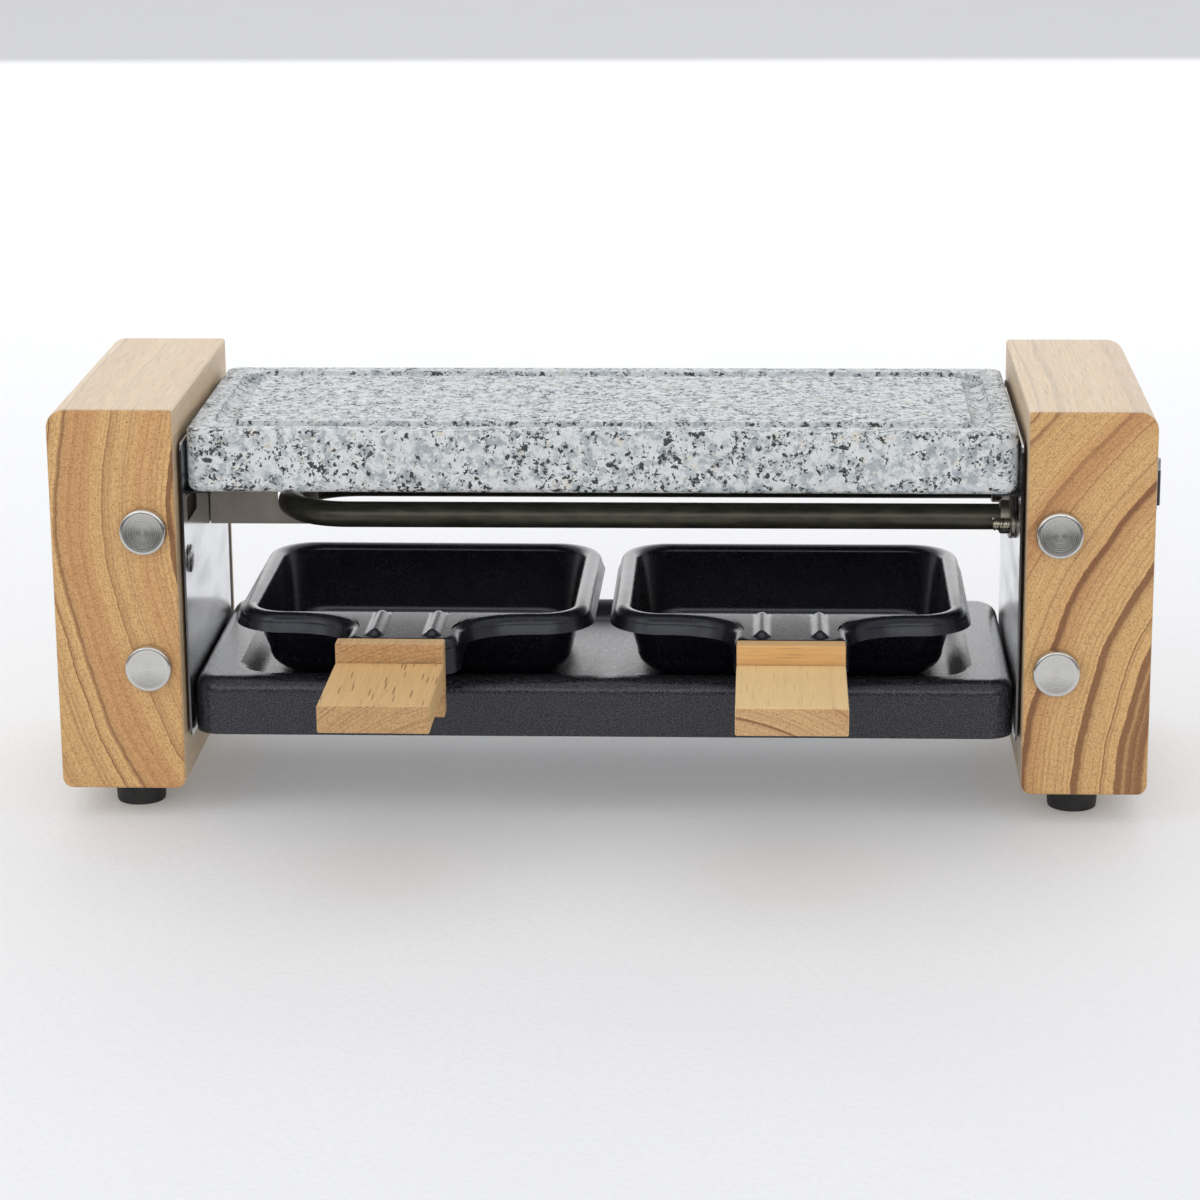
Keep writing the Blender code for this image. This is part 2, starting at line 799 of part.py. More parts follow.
def flange_outline():
    """Two round bosses for the legs and two smaller ears for the screws, drawn round tightly."""
    leg_y = element_leg_spacing / 2
    ear_y = flange_ear_spacing / 2
    lean = math.asin((flange_leg_radius - flange_ear_radius) / (ear_y - leg_y))
    points = []
    for centre, radius, first, last in ((ear_y, flange_ear_radius, lean - math.pi / 2, math.pi / 2 - lean),
                                        (leg_y, flange_leg_radius, math.pi / 2 - lean, math.pi / 2)):
        for index in range(corner_steps + 1):
            angle = first + (last - first) * index / corner_steps
            points.append((centre + radius * math.cos(angle), radius * math.sin(angle)))
    upper = [point for point in points if point[1] > 0 or point[0] > leg_y]
    right = [(leg_y + flange_leg_radius * math.sin(lean * index / corner_steps),
              -flange_leg_radius * math.cos(lean * index / corner_steps)) for index in range(corner_steps)]
    half = right + upper
    other = [(-along, -up) for along, up in half]
    return [(along, up + element_height) for along, up in half + other]


def flange_mesh():
    """The plate that closes the heater's open end, with a collar round each leg."""
    outer_x = flange_inner_x + flange_thickness
    mesh = upright_sheet_mesh("flange", flange_inner_x, outer_x, flange_outline())
    collars = []
    for end in (-1, 1):
        leg_y = end * element_leg_spacing / 2
        collars.append(rod_mesh("collar", (flange_inner_x - collar_length, leg_y, element_height),
                                (outer_x - gap, leg_y, element_height), collar_radius, cap_sides))
    mesh = reshape(mesh, collars, "UNION")
    return reshape(mesh, element_tools(flange_inner_x - collar_length - overrun, outer_x + overrun),
                   "DIFFERENCE")


def support_mesh():
    """A bent strip on the left side plate that cradles the heater's bend."""
    wall = plate_inner_x - gap
    half = support_sheet / 2
    tip = wall - support_reach
    foot_end = support_foot_length
    profile = [(-wall, -half), (-tip, -half), (-tip, half), (-wall + support_sheet, half),
               (-wall + support_sheet, foot_end), (-wall, foot_end)]
    rings = [[(across, along, up) for across, along in profile] for up in (support_low, support_high)]
    mesh = lofted_mesh("support", rings)
    centre_x = -(element_bend_x + element_leg_spacing / 2)
    centre_z = element_height - element_radius - gap + support_notch_radius
    notch = rounded_outline((centre_x - support_notch_radius, centre_z - support_notch_radius),
                            (centre_x + support_notch_radius, support_high + overrun),
                            (support_notch_radius, gap, gap, support_notch_radius), 2 * corner_steps)
    rings = [[(across, along, up) for across, up in notch]
             for along in (-half - overrun, half + overrun)]
    notch_tool = lofted_mesh("notch", rings)
    screw_tool = rod_mesh("screw_hole", (-wall - overrun, support_screw_offset, element_height),
                          (-wall + support_sheet + overrun, support_screw_offset, element_height),
                          screw_radius + gap)
    return reshape(mesh, [notch_tool, screw_tool], "DIFFERENCE")


def build_element(stand, tube_finish, strip_finish, steel):
    """The heater with the flange, screws and strip that hold it."""
    place("heating_element", element_mesh(), tube_finish, stand)
    place("element_flange", flange_mesh(), strip_finish, stand)
    seat_x = block_inner_x
    stud = screw_mesh("stud", stud_head_radius, stud_head_height, stud_radius,
                      seat_x - flange_inner_x + stud_reach)
    for end, word in ((-1, "front"), (1, "back")):
        place(f"{word}_flange_screw", stud, steel, stand,
              (seat_x, end * flange_ear_spacing / 2, element_height), facing_middle(-1))
    place("element_support", support_mesh(), strip_finish, stand)
    support_screw = screw_mesh("support_screw", screw_head_radius, screw_head_height, screw_radius,
                               screw_length)
    place("element_support_screw", support_screw, steel, stand,
          (-(plate_inner_x - 2 * gap - support_sheet), support_screw_offset, element_height),
          facing_middle(-1))


def pan_front_stations():
    """Where the rim's front edge leaves the rectangle: sweep, tongue side, end and back again.

    Each station is (x, y beyond the rim, outward x, outward y, share of the full flange drop).
    """
    stations = []
    for index in range(tongue_sweep_steps + 1):
        angle = math.pi / 2 * index / tongue_sweep_steps
        across = tongue_half_width + tongue_sweep_width * (1 - math.sin(angle))
        beyond = tongue_sweep_depth * (1 - math.cos(angle))
        stations.append((across, beyond, math.sin(angle), math.cos(angle), 0.0))
    straight = tongue_length - tongue_end_radius
    for share in tongue_side_shares:
        beyond = tongue_sweep_depth + (straight - tongue_sweep_depth) * share
        stations.append((tongue_half_width, beyond, 1.0, 0.0, share))
    for index in range(1, fine_corner_steps + 1):
        angle = math.pi / 2 * index / fine_corner_steps
        stations.append((tongue_half_width - tongue_end_radius * (1 - math.cos(angle)),
                         straight + tongue_end_radius * math.sin(angle),
                         math.cos(angle), math.sin(angle), 1.0))
    left = [(-across, beyond, -out_x, out_y, share) for across, beyond, out_x, out_y, share in stations]
    return left + list(reversed(stations))


def pan_rim_ring(inset, height, drop=0.0, flare=0.0):
    """The rim's outline with its tongue, drawn in by inset.

    Drop deepens it along the tongue, and flare spreads it all round but at the tongue's end.
    """
    half_x = pan_half_width - inset + flare
    half_y = pan_half_depth - inset + flare
    radius = pan_corner_radius - inset + flare
    outline = rounded_outline((-half_x, -half_y), (half_x, half_y), (radius,) * 4, pan_corner_steps)
    points = [(across, along, height) for across, along in outline]
    for across, beyond, out_x, out_y, share in pan_front_stations():
        draw = inset - flare * (1 - share)
        points.append((across - out_x * draw, -pan_half_depth - beyond + out_y * draw,
                       height - drop * share))
    return points


def pan_bowl_ring(inset, front_inset, height, radius):
    """A level of the bowl, with points along its front edge to match the tongue's."""
    half_x = pan_half_width - inset
    front_y = -pan_half_depth + front_inset
    back_y = pan_half_depth - front_inset
    outline = rounded_outline((-half_x, front_y), (half_x, back_y), (radius,) * 4, pan_corner_steps)
    points = [(across, along, height) for across, along in outline]
    count = len(pan_front_stations())
    limit = min(tongue_sweep_reach, (half_x - radius) * pan_front_share)
    for index in range(count):
        points.append((-limit + 2 * limit * index / (count - 1), front_y, height))
    return points


def pan_sheet_side(thickness):
    """One face of the pan's sheet, from the bowl's floor out to the skirt's lower edge."""
    rings = []
    steps = [math.pi / 2 * index / pan_bend_steps for index in range(pan_bend_steps + 1)]
    top = pan_height - thickness
    floor = pan_sheet - thickness
    floor_bend = pan_floor_bend - pan_sheet + thickness
    mouth = pan_mouth_bend - thickness / 2
    corner = pan_corner_radius - pan_rim_width + thickness
    side_low = pan_rim_width + pan_wall_run - thickness
    front_low = pan_rim_width + pan_front_wall_run - thickness
    for angle in steps:
        lift = floor_bend * (1 - math.cos(angle))
        draw = floor_bend * (1 - math.sin(angle))
        rings.append(pan_bowl_ring(side_low + draw, front_low + draw, floor + lift, corner))
    side_high = pan_rim_width - thickness
    for angle in reversed(steps):
        draw = mouth * math.sin(angle)
        fall = mouth * (1 - math.cos(angle))
        rings.append(pan_bowl_ring(side_high + draw, side_high + draw, top - fall, corner))
    edge = pan_rim_bend - thickness
    for angle in steps:
        rings.append(pan_rim_ring(thickness + edge * (1 - math.sin(angle)),
                                  top - edge * (1 - math.cos(angle))))
    rings.append(pan_rim_ring(thickness, pan_height - pan_skirt_drop,
                              tongue_flange_drop - pan_skirt_drop, pan_skirt_flare))
    return rings


def rib_mesh(across):
    """A stamped rib on the tongue: a half-round bar that swells and ends before the handle."""
    first = -(pan_half_depth - pan_rim_width)
    last = -(tongue_end - pan_rim_bend - rib_end_inset)
    rings = []
    for share, size in zip(rib_station_shares, rib_size_shares):
        along = first + (last - first) * share
        ring = []
        for index in range(rib_arc_steps + 1):
            angle = math.pi * index / rib_arc_steps
            ring.append((across + rib_radius * size * math.cos(angle), along,
                         pan_height + rib_height * size * math.sin(angle)))
        ring.append((across - rib_radius * size, along, pan_height - rib_sink))
        ring.append((across + rib_radius * size, along, pan_height - rib_sink))
        rings.append(ring)
    return lofted_mesh("rib", rings)


def handle_screw_places():
    """X and Z of the two screws behind the handle, from the pan's own origin."""
    board_top = pan_height + board_rise
    middle = board_top - grip_drop - grip_height / 2
    return ((-rib_offset, middle), (rib_offset, middle))


def pan_mesh():
    """The pressed pan: bowl, rolled rim, swept tongue and its down-turned end."""
    mesh = lofted_mesh("pan", pan_sheet_side(0) + list(reversed(pan_sheet_side(pan_sheet))))
    mesh = reshape(mesh, [rib_mesh(-rib_offset), rib_mesh(rib_offset)], "UNION")
    tools = [rod_mesh("screw_hole", (across, -tongue_end - overrun, up),
                      (across, -tongue_end + pan_sheet + overrun, up), handle_screw_radius + gap)
             for across, up in handle_screw_places()]
    return reshape(mesh, tools, "DIFFERENCE")


def board_mesh(shift):
    """The upright board of a handle, set off the tongue's middle by the shift."""
    top = pan_height + board_rise
    mesh = slab_mesh("board",
                     (shift - board_width / 2, -board_back - board_thickness, top - board_height),
                     (shift + board_width / 2, -board_back, top), handle_arris, handle_arris / 2)
    tools = [rod_mesh("screw_hole", (across, -board_back - board_thickness - overrun, up),
                      (across, -board_back + overrun, up), handle_screw_radius + gap)
             for across, up in handle_screw_places()]
    return reshape(mesh, tools, "DIFFERENCE")


def grip_mesh(shift):
    """The flat grip of a handle, in line with its board."""
    top = pan_height + board_rise - grip_drop
    mesh = slab_mesh("grip", (shift - board_width / 2, -grip_front, top - grip_height),
                     (shift + board_width / 2, -grip_back, top), handle_arris, handle_arris / 2)
    deep = tongue_end - pan_sheet + handle_screw_length
    tools = [rod_mesh("screw_hole", (across, -deep, up), (across, -grip_back + overrun, up),
                      handle_screw_radius + gap) for across, up in handle_screw_places()]
    return reshape(mesh, tools, "DIFFERENCE")


def build_pans(stand, coating, wood, steel):
    """Two alike pans, each on its own frame at its bowl's middle."""
    dish = pan_mesh()
    screw = screw_mesh("handle_screw", handle_screw_head_radius, handle_screw_head_height,
                       handle_screw_radius, handle_screw_length)
    for side, word, turn, shift in ((-1, "left", left_pan_turn, left_handle_shift),
                                    (1, "right", right_pan_turn, right_handle_shift)):
        seat = place_empty(word + "_pan_frame", stand, (side * pan_spacing / 2, pan_y, pan_seat_height),
                           (0, 0, turn))
        place(word + "_pan_dish", dish, coating, seat)
        place(word + "_handle_board", board_mesh(shift), wood, seat)
        place(word + "_handle_grip", grip_mesh(shift), wood, seat)
        for (across, up), hand in zip(handle_screw_places(), ("left", "right")):
            place(f"{word}_pan_{hand}_screw", screw, steel, seat,
                  (across, -tongue_end + pan_sheet + gap, up), facing_back)


def rocker_outline():
    """The rocker seen along its pivot: x away from the block, y along the switch."""
    half = rocker_length / 2
    high = rocker_end_height
    edge = rocker_edge
    hub = rocker_hub_length / 2
    shave = edge * (1 - math.sin(math.pi / 4))
    upper = [(high - edge, half), (high - shave, half - shave), (high, half - edge)]
    lower = [(across, -along) for across, along in reversed(upper)]
    foot = [(0, -half + edge), (-rocker_hub_drop, -hub), (-rocker_hub_drop, hub), (0, half - edge)]
    return upper + [(rocker_middle_height, 0)] + lower + foot


def rocker_reach():
    """How far the tilted rocker stands out from its pivot."""
    return max(across * math.cos(rocker_tilt) + abs(along) * math.sin(rocker_tilt)
               for across, along in rocker_outline())


def rocker_mesh():
    """The rocker with a short pivot pin at each side."""
    half = rocker_width / 2
    rings = [[(across, along, up) for across, along in rocker_outline()] for up in (-half, half)]
    mesh = lofted_mesh("rocker", rings)
    pins = [rod_mesh("pin", (0, 0, -half - rocker_pin_length), (0, 0, half + rocker_pin_length),
                     rocker_pin_radius, rocker_pin_sides)]
    return reshape(mesh, pins, "UNION")


def switch_body_mesh():
    """The switch's moulded body: a box behind a bezel, with a well for the rocker."""
    def layer(half_y, half_z, radius, place_x):
        outline = rounded_outline((-half_y, -half_z), (half_y, half_z), (radius,) * 4,
                                  fine_corner_steps)
        return [(place_x, along, up) for along, up in outline]

    body_y = switch_body_length / 2
    body_z = switch_body_width / 2
    edge = bezel_edge
    rings = [layer(body_y, body_z, bezel_corner_radius, -switch_body_depth),
             layer(body_y, body_z, bezel_corner_radius, gap),
             layer(bezel_length / 2, bezel_width / 2, bezel_corner_radius, gap),
             layer(bezel_length / 2, bezel_width / 2, bezel_corner_radius, bezel_thickness),
             layer(bezel_length / 2 - edge, bezel_width / 2 - edge, bezel_corner_radius - edge,
                   bezel_thickness + gap)]
    mesh = lofted_mesh("switch_body", rings)
    well = rounded_outline((-well_length / 2, -well_width / 2), (well_length / 2, well_width / 2),
                           (edge,) * 4, fine_corner_steps)
    well_tool = upright_sheet_mesh("well", bezel_thickness - well_depth, bezel_thickness + overrun, well)
    half = rocker_width / 2 + rocker_pin_length + gap
    pin_tool = rod_mesh("pin_bore", (-rocker_pivot_depth, 0, -half), (-rocker_pivot_depth, 0, half),
                        rocker_pin_radius + rocker_pin_fit, rocker_pin_sides)
    return reshape(mesh, [well_tool, pin_tool], "DIFFERENCE")


def build_switch(stand, plastic):
    """The switch body in the block's wall and the rocker on its pivot."""
    place("switch_body", switch_body_mesh(), plastic, stand, (block_outer_x, switch_y, switch_height))
    place("switch_rocker", rocker_mesh(), plastic, stand, (switch_pivot_x, switch_y, switch_height),
          (0, 0, -rocker_tilt))


def build_inlet(stand, rubber):
    """The flanged bush where the cord goes in."""
    height = inlet_flange_height
    profile = [(inlet_bore_radius, -inlet_barrel_length), (inlet_barrel_radius, -inlet_barrel_length),
               (inlet_barrel_radius, 0), (inlet_flange_radius, 0),
               (inlet_flange_radius, height - inlet_edge), (inlet_flange_radius - inlet_edge, height),
               (inlet_bore_radius, height)]
    mesh = turned_mesh("cord_inlet", profile, cap_sides, hollow=True)
    place("cord_inlet", mesh, rubber, stand,
          (block_outer_x - inlet_x_inset, block_back_y + gap, inlet_height), facing_back)


def lead_mesh(name, route):
    """A thin insulated wire along a smooth curve through the given places."""
    curve = bpy.data.curves.new(name, "CURVE")
    curve.dimensions = "3D"
    curve.resolution_u = lead_resolution
    curve.bevel_depth = lead_radius
    curve.bevel_resolution = lead_bevel_resolution
    curve.use_fill_caps = True
    spline = curve.splines.new("BEZIER")
    spline.bezier_points.add(len(route) - 1)
    for knot, point in zip(spline.bezier_points, route):
        knot.co = point
        knot.handle_left_type = "AUTO"
        knot.handle_right_type = "AUTO"
    holder = bpy.data.objects.new(name, curve)
    bpy.context.scene.collection.objects.link(holder)
    mesh = bpy.data.meshes.new_from_object(holder.evaluated_get(bpy.context.evaluated_depsgraph_get()))
    bpy.data.objects.remove(holder)
    return mesh


def build_connections(stand, ceramic, brass, plastic, steel, sleeve):
    """What the wiring pocket holds: pins, bushes, thermal fuse, terminal block and leads."""
    leg_y = element_leg_spacing / 2
    pin_start = element_end_x + gap
    pin_end = pin_start + pin_length
    pin = rod_mesh("pin", (0, 0, 0), (pin_length, 0, 0), pin_radius, screw_sides)
    bush_profile = [(pin_radius + gap, 0), (bush_radius, 0), (bush_radius, bush_length),
                    (pin_radius + gap, bush_length)]
    bush = turned_mesh("bush", bush_profile, hole_sides, hollow=True)
    for end, word in ((-1, "front"), (1, "back")):
        place(f"{word}_terminal_pin", pin, brass, stand, (pin_start, end * leg_y, element_height))
        place(f"{word}_terminal_bush", bush, ceramic, stand, (pin_start, end * leg_y, element_height),
              (0, math.pi / 2, 0))
    fuse_x = block_inner_x + fuse_radius
    profile = [(0, -fuse_length / 2), (fuse_radius - fuse_edge, -fuse_length / 2),
               (fuse_radius, -fuse_length / 2 + fuse_edge), (fuse_radius, fuse_length / 2 - fuse_edge),
               (fuse_radius - fuse_edge, fuse_length / 2), (0, fuse_length / 2)]
    place("thermal_fuse", turned_mesh("fuse", profile, screw_sides), steel, stand,
          (fuse_x, 0, fuse_height), facing_back)
    pocket_x = block_inner_x + pocket_depth
    block_y = pocket_half_length - terminal_back_inset
    low = (pocket_x - gap - terminal_width, block_y - terminal_length, terminal_low)
    high = (pocket_x - gap, block_y, terminal_low + terminal_height)
    place("terminal_block", slab_mesh("terminal_block", low, high, terminal_edge, terminal_edge),
          plastic, stand)

    switch_x = block_outer_x - switch_body_depth - gap
    switch_front = switch_y - switch_tab_spacing / 2
    switch_back = switch_y + switch_tab_spacing / 2
    live_height = switch_height + lead_radius
    fed_height = switch_height - bush_radius
    between_x = (pin_end + switch_x) / 2
    terminal_x = (low[0] + high[0]) / 2
    fuse_end = fuse_length / 2 + gap
    screw_line = terminal_low + terminal_screw_rise
    bend_x = pin_end - lead_bend
    loop_x = pin_end + lead_slack
    routes = {
        "live_lead": ((terminal_x, low[1] - gap, screw_line),
                      (terminal_x, low[1] - gap - lead_stub, screw_line),
                      (between_x, low[1] - lead_slack, screw_line),
                      (bend_x, switch_back - lead_radius, screw_line),
                      (switch_x - lead_stub, switch_back, live_height),
                      (switch_x, switch_back, live_height)),
        "switch_lead": ((switch_x, switch_front, fed_height),
                        (switch_x - lead_stub, switch_front, fed_height),
                        (bend_x, switch_front, fed_height),
                        (fuse_x + lead_bend, -leg_y, fuse_height - lead_radius),
                        (fuse_x, -fuse_end - lead_stub, fuse_height),
                        (fuse_x, -fuse_end, fuse_height)),
        "fuse_lead": ((fuse_x, fuse_end, fuse_height),
                      (fuse_x, fuse_end + lead_stub, fuse_height),
                      (fuse_x + lead_bend, fuse_end + lead_bend, fuse_height - lead_bend),
                      (bend_x, fuse_end, (fuse_height + element_height) / 2),
                      (loop_x, fuse_end - 3 * lead_bend, element_height),
                      (loop_x, -leg_y + lead_bend, element_height),
                      (pin_end + lead_stub, -leg_y, element_height),
                      (pin_end + gap, -leg_y, element_height)),
        "neutral_lead": ((terminal_x, leg_y, terminal_low - gap),
                         (terminal_x, leg_y, terminal_low - lead_stub),
                         (pin_end + lead_bend, leg_y, element_height),
                         (pin_end + gap, leg_y, element_height)),
    }
    for name, route in routes.items():
        place(name, lead_mesh(name, route), sleeve, stand)


def object_middle():
    """X and Y of the middle of the whole object's box, from what stands out on each side."""
    right = switch_pivot_x + rocker_reach()
    left = -block_outer_x
    corners = (left_handle_shift - board_width / 2, left_handle_shift + board_width / 2)
    front = pan_y + min(across * math.sin(left_pan_turn) - grip_front * math.cos(left_pan_turn)
                        for across in corners)
    back = block_back_y + gap + max(cap_height, inlet_flange_height)
    return ((left + right) / 2, (front + back) / 2)


def build_grill():
    """Make the finishes and every piece."""
    wood = make_material("beech", (0.72, 0.50, 0.28), 0.5, 0.0)
    bright_steel = make_material("bright_steel", (0.62, 0.62, 0.63), 0.28, 1.0)
    plate_steel = make_material("plate_steel", (0.70, 0.71, 0.72), 0.2, 1.0)
    shield_board = make_material("shield_board", (0.10, 0.06, 0.04), 0.8, 0.0)
    rubber = make_material("black_rubber", (0.02, 0.02, 0.02), 0.7, 0.0)
    granite = make_material("granite", (0.66, 0.68, 0.72), 0.35, 0.0)
    enamel = make_material("black_enamel", (0.03, 0.03, 0.035), 0.35, 0.0)
    tube = make_material("element_sheath", (0.10, 0.10, 0.08), 0.5, 0.8)
    strip = make_material("strip_steel", (0.38, 0.34, 0.30), 0.4, 1.0)
    coating = make_material("non_stick", (0.015, 0.015, 0.018), 0.4, 0.0)
    plastic = make_material("grey_plastic", (0.05, 0.055, 0.06), 0.45, 0.0)
    ceramic = make_material("ceramic", (0.85, 0.83, 0.78), 0.6, 0.0)
    brass = make_material("brass", (0.75, 0.58, 0.25), 0.35, 1.0)
    sleeve = make_material("lead_sleeve", (0.75, 0.72, 0.66), 0.6, 0.0)

    middle_x, middle_y = object_middle()
    stand = place_empty("stand_frame", None, (-middle_x, -middle_y, 0))
    build_blocks(stand, wood, bright_steel, rubber)
    build_side_plates(stand, shield_board, plate_steel, bright_steel)
    build_tray(stand, enamel, bright_steel)
    build_element(stand, tube, strip, bright_steel)
    place("granite_plate", stone_mesh(), granite, stand, (0, 0, stone_seat_height))
    build_pans(stand, coating, wood, bright_steel)
    build_switch(stand, plastic)
    build_inlet(stand, rubber)
    build_connections(stand, ceramic, brass, plastic, bright_steel, sleeve)


remove_start_objects()
build_grill()
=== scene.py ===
"""Looks of a tabletop raclette grill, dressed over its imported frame.

Lengths are in metres and axes are the frame's: +X runs along the grill towards the switch, -Y is the
front where the pan handles stand out, and +Z is up. Patterns are laid out in millimetres.
"""

import math

import bmesh
import bpy
from mathutils import Matrix, Vector


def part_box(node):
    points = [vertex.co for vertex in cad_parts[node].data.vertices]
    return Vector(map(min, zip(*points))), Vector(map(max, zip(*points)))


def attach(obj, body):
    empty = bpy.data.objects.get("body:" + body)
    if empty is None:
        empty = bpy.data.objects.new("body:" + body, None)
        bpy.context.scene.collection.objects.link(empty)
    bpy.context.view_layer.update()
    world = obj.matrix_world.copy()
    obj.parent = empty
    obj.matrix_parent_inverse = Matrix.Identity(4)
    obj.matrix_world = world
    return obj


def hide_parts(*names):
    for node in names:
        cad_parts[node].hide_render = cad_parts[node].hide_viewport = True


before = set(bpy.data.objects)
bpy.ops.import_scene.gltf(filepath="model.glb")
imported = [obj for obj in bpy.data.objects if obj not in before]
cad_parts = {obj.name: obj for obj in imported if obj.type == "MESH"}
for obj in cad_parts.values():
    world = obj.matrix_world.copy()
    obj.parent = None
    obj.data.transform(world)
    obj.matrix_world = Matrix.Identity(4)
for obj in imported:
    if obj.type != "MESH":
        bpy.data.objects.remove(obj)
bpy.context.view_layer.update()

# Camera
camera_place = (0.04674, -1.05396, 0.35433)
camera_pitch = 0.2687
camera_yaw = -0.04747
camera_roll = -0.00781
camera_lens = 107.4
camera_sensor = 36.0
camera_near = 0.01

# Studio
floor_half_size = 6.0
floor_colour = (0.775, 0.78, 0.79)
floor_glow_colour = (0.97, 0.985, 1.0)
floor_glow = 0.12
backdrop_colour = (0.925, 0.932, 0.94)
room_light_colour = (1.0, 1.0, 1.02)
room_light_strength = 0.69
lights = {
    "top_light": {"size": (1.5, 1.1), "place": (0.0, 0.30, 1.15), "target": (0, 0, 0), "power": 2.2},
    "back_light": {"size": (2.6, 1.2), "place": (0.0, 1.70, 0.62), "target": (0, 0, 0), "power": 14.0},
    "front_light": {"size": (2.2, 1.0), "place": (0.0, -1.60, 0.50), "target": (0, 0, 0), "power": 9.8},
    "side_light": {"size": (0.5, 0.9), "place": (-0.95, -0.75, 0.75), "target": (0, 0, 0.05),
                   "power": 1.5},
}
flag_half_width = 0.9
flag_height = 0.135
flag_y = -0.31
flag_colour = (0.045, 0.045, 0.048)

# Colours of the plainer materials
glaze_tint = (0.90, 0.925, 1.0)
plate_colour = (0.70, 0.71, 0.73)
strip_colour = (0.36, 0.325, 0.28)
brass_colour = (0.44, 0.41, 0.32)
ceramic_colour = (0.70, 0.68, 0.62)
plastic_colour = (0.030, 0.031, 0.034)
bush_colour = (0.012, 0.012, 0.012)
foot_colour = (0.010, 0.010, 0.010)

# Scale of the patterns
millimetres_per_metre = 1000

# Rounding shared by the pieces
sharp_angle = math.radians(40)
flat_angle = math.radians(1)
merge_distance = 1e-7
corner_steps = 8
arris_steps = 6
turned_sides = 64
overrun = 0.002
gap = 0.0003

# End blocks
block_outer_top_radius = 0.0058
block_inner_top_radius = 0.0009
block_bottom_radius = 0.0032
block_arris_radius = 0.0010
block_grain = {
    "left": {"pith": (0.168, 0.085), "ring_width": 7.0, "seed": 0.0},
    "right": {"pith": (0.141, 0.0), "ring_width": 7.5, "seed": 31.0},
}

# Stone
stone_corner_radius = 0.0045
stone_bottom_radius = 0.003
stone_top_arris = 0.0008
groove_inset = 0.010
groove_width = 0.007
groove_depth = 0.0025
groove_corner_radius = 0.008
groove_steps = 12

# Tray
tray_sheet = 0.0009
tray_corner_radius = 0.008
tray_edge_radius = 0.0045
recess_end_border = 0.0130
recess_front_border = 0.0080
recess_back_border = 0.0057
recess_depth = 0.0049
recess_corner_radius = 0.012
recess_run = 0.0074
recess_lip = 0.0012
tray_bend_steps = 6

# Pans, measured from the underside of the bowl
pan_half_width = 0.054
pan_half_depth = 0.0455
pan_height = 0.0253
pan_sheet = 0.001
pan_corner_radius = 0.015
pan_rim_width = 0.0034
pan_rim_bend = 0.0031
pan_skirt_drop = 0.0054
pan_skirt_flare = 0.0010
pan_mouth_bend = 0.0022
pan_wall_run = 0.0044
pan_front_wall_run = 0.0135
pan_floor_bend = 0.008
pan_bend_steps = 7
pan_corner_steps = 12
pan_front_share = 0.98
pan_turns = {"left": math.radians(-0.5), "right": 0.0}

# Pan tongue and its ribs
tongue_half_width = 0.017
tongue_length = 0.0274
tongue_sweep_width = 0.0205
tongue_sweep_depth = 0.013
tongue_end_radius = 0.0065
tongue_flange_drop = 0.0105
tongue_sweep_steps = 12
tongue_side_steps = 6
tongue_end_steps = 5
rib_offset = 0.0086
rib_half_width = 0.0031
rib_height = 0.0015
rib_sink = 0.0003
rib_end_inset = 0.0012
rib_arc_steps = 16
rib_stations = 28
rib_rise_share = 0.10
rib_fall_share = 0.12

# Pan handles
handle_waver = 1.2
board_piths = {"left": (0.02, 0, -0.05), "right": (0, -0.12, 0.05)}
# The paler colours of the handles' long faces are partly the timber's own side grain, partly painted
# light for their lit tops.
board_looks = {
    "left": {"ring_width": 1.7, "along": "Y", "seed": -7.0, "strong": 0.55,
             "pale": (0.54, 0.33, 0.15), "cream_and_light": (0.74, 0.49, 0.23), "side_wash_and_light": 0.45, "dash": 0.9},
    "right": {"ring_width": 1.7, "along": "X", "seed": 7.0, "strong": 0.55,
              "pale": (0.58, 0.34, 0.135), "cream_and_light": (0.76, 0.46, 0.17), "side_wash_and_light": 0.5, "dash": 0.3},
}
grip_piths = {"left": (0.03, 0, -0.045), "right": (-0.03, 0, -0.06)}
grip_looks = {
    "left": {"ring_width": 1.5, "along": "Y", "seed": -17.0, "strong": 0.5,
             "pale": (0.54, 0.34, 0.155), "cream_and_light": (0.86, 0.565, 0.25), "side_wash_and_light": 0.6, "dash": 0.9},
    "right": {"ring_width": 4.2, "along": "Y", "seed": 17.0, "strong": 0.5,
              "pale": (0.60, 0.385, 0.185), "cream_and_light": (1.0, 0.74, 0.36), "side_wash_and_light": 0.6, "dash": 0.2},
}
board_width = 0.032
board_thickness = 0.0058
board_height = 0.0226
board_rise = 0.0008
grip_length = 0.0432
grip_height = 0.0082
grip_drop = 0.0058
handle_shifts = {"left": -0.0027, "right": 0.0}
handle_arris = 0.0006
handle_arris_steps = 3

# Turned caps
cap_standing = 0.0033
cap_chamfer = 0.00045
cap_dish = 0.0003
cap_face_rings = 10

# Feet and screws
foot_edge = 0.0008
foot_taper = 0.0005
foot_recess_radius = 0.0042
foot_recess_depth = 0.0046
screw_head_height = 0.0022
plate_screw_head_height = 0.0009
cross_half_length_share = 0.52
cross_half_width_share = 0.12
cross_depth_share = 0.62
cross_floor_share = 0.6

# Heater
element_radius = 0.0040
element_leg_spacing = 0.040
element_sides = 40
element_bend_steps = 32
flange_thickness = 0.0012
flange_leg_radius = 0.0066
flange_ear_radius = 0.0036
flange_ear_spacing = 0.059
flange_bevel = 0.0003
collar_radius = 0.0052
collar_length = 0.0029
collar_edge = 0.0006
stud_radius = 0.002
stud_reach = 0.0052
stud_head_radius = 0.0035
stud_head_height = 0.0024
thread_pitch = 0.00105
thread_depth = 0.00034
thread_turn_steps = 28
thread_crest_sides = 6
stud_sides = 32

# Switch and cord inlet
bezel_lip = 0.0006
bezel_corner_radius = 0.0015
switch_bevel = 0.00025
switch_bevel_steps = 2
switch_merge_distance = 1e-6
inlet_flange_height = 0.0035
inlet_bore_radius = 0.0035
inlet_lip = 0.0017
inlet_edge = 0.0012


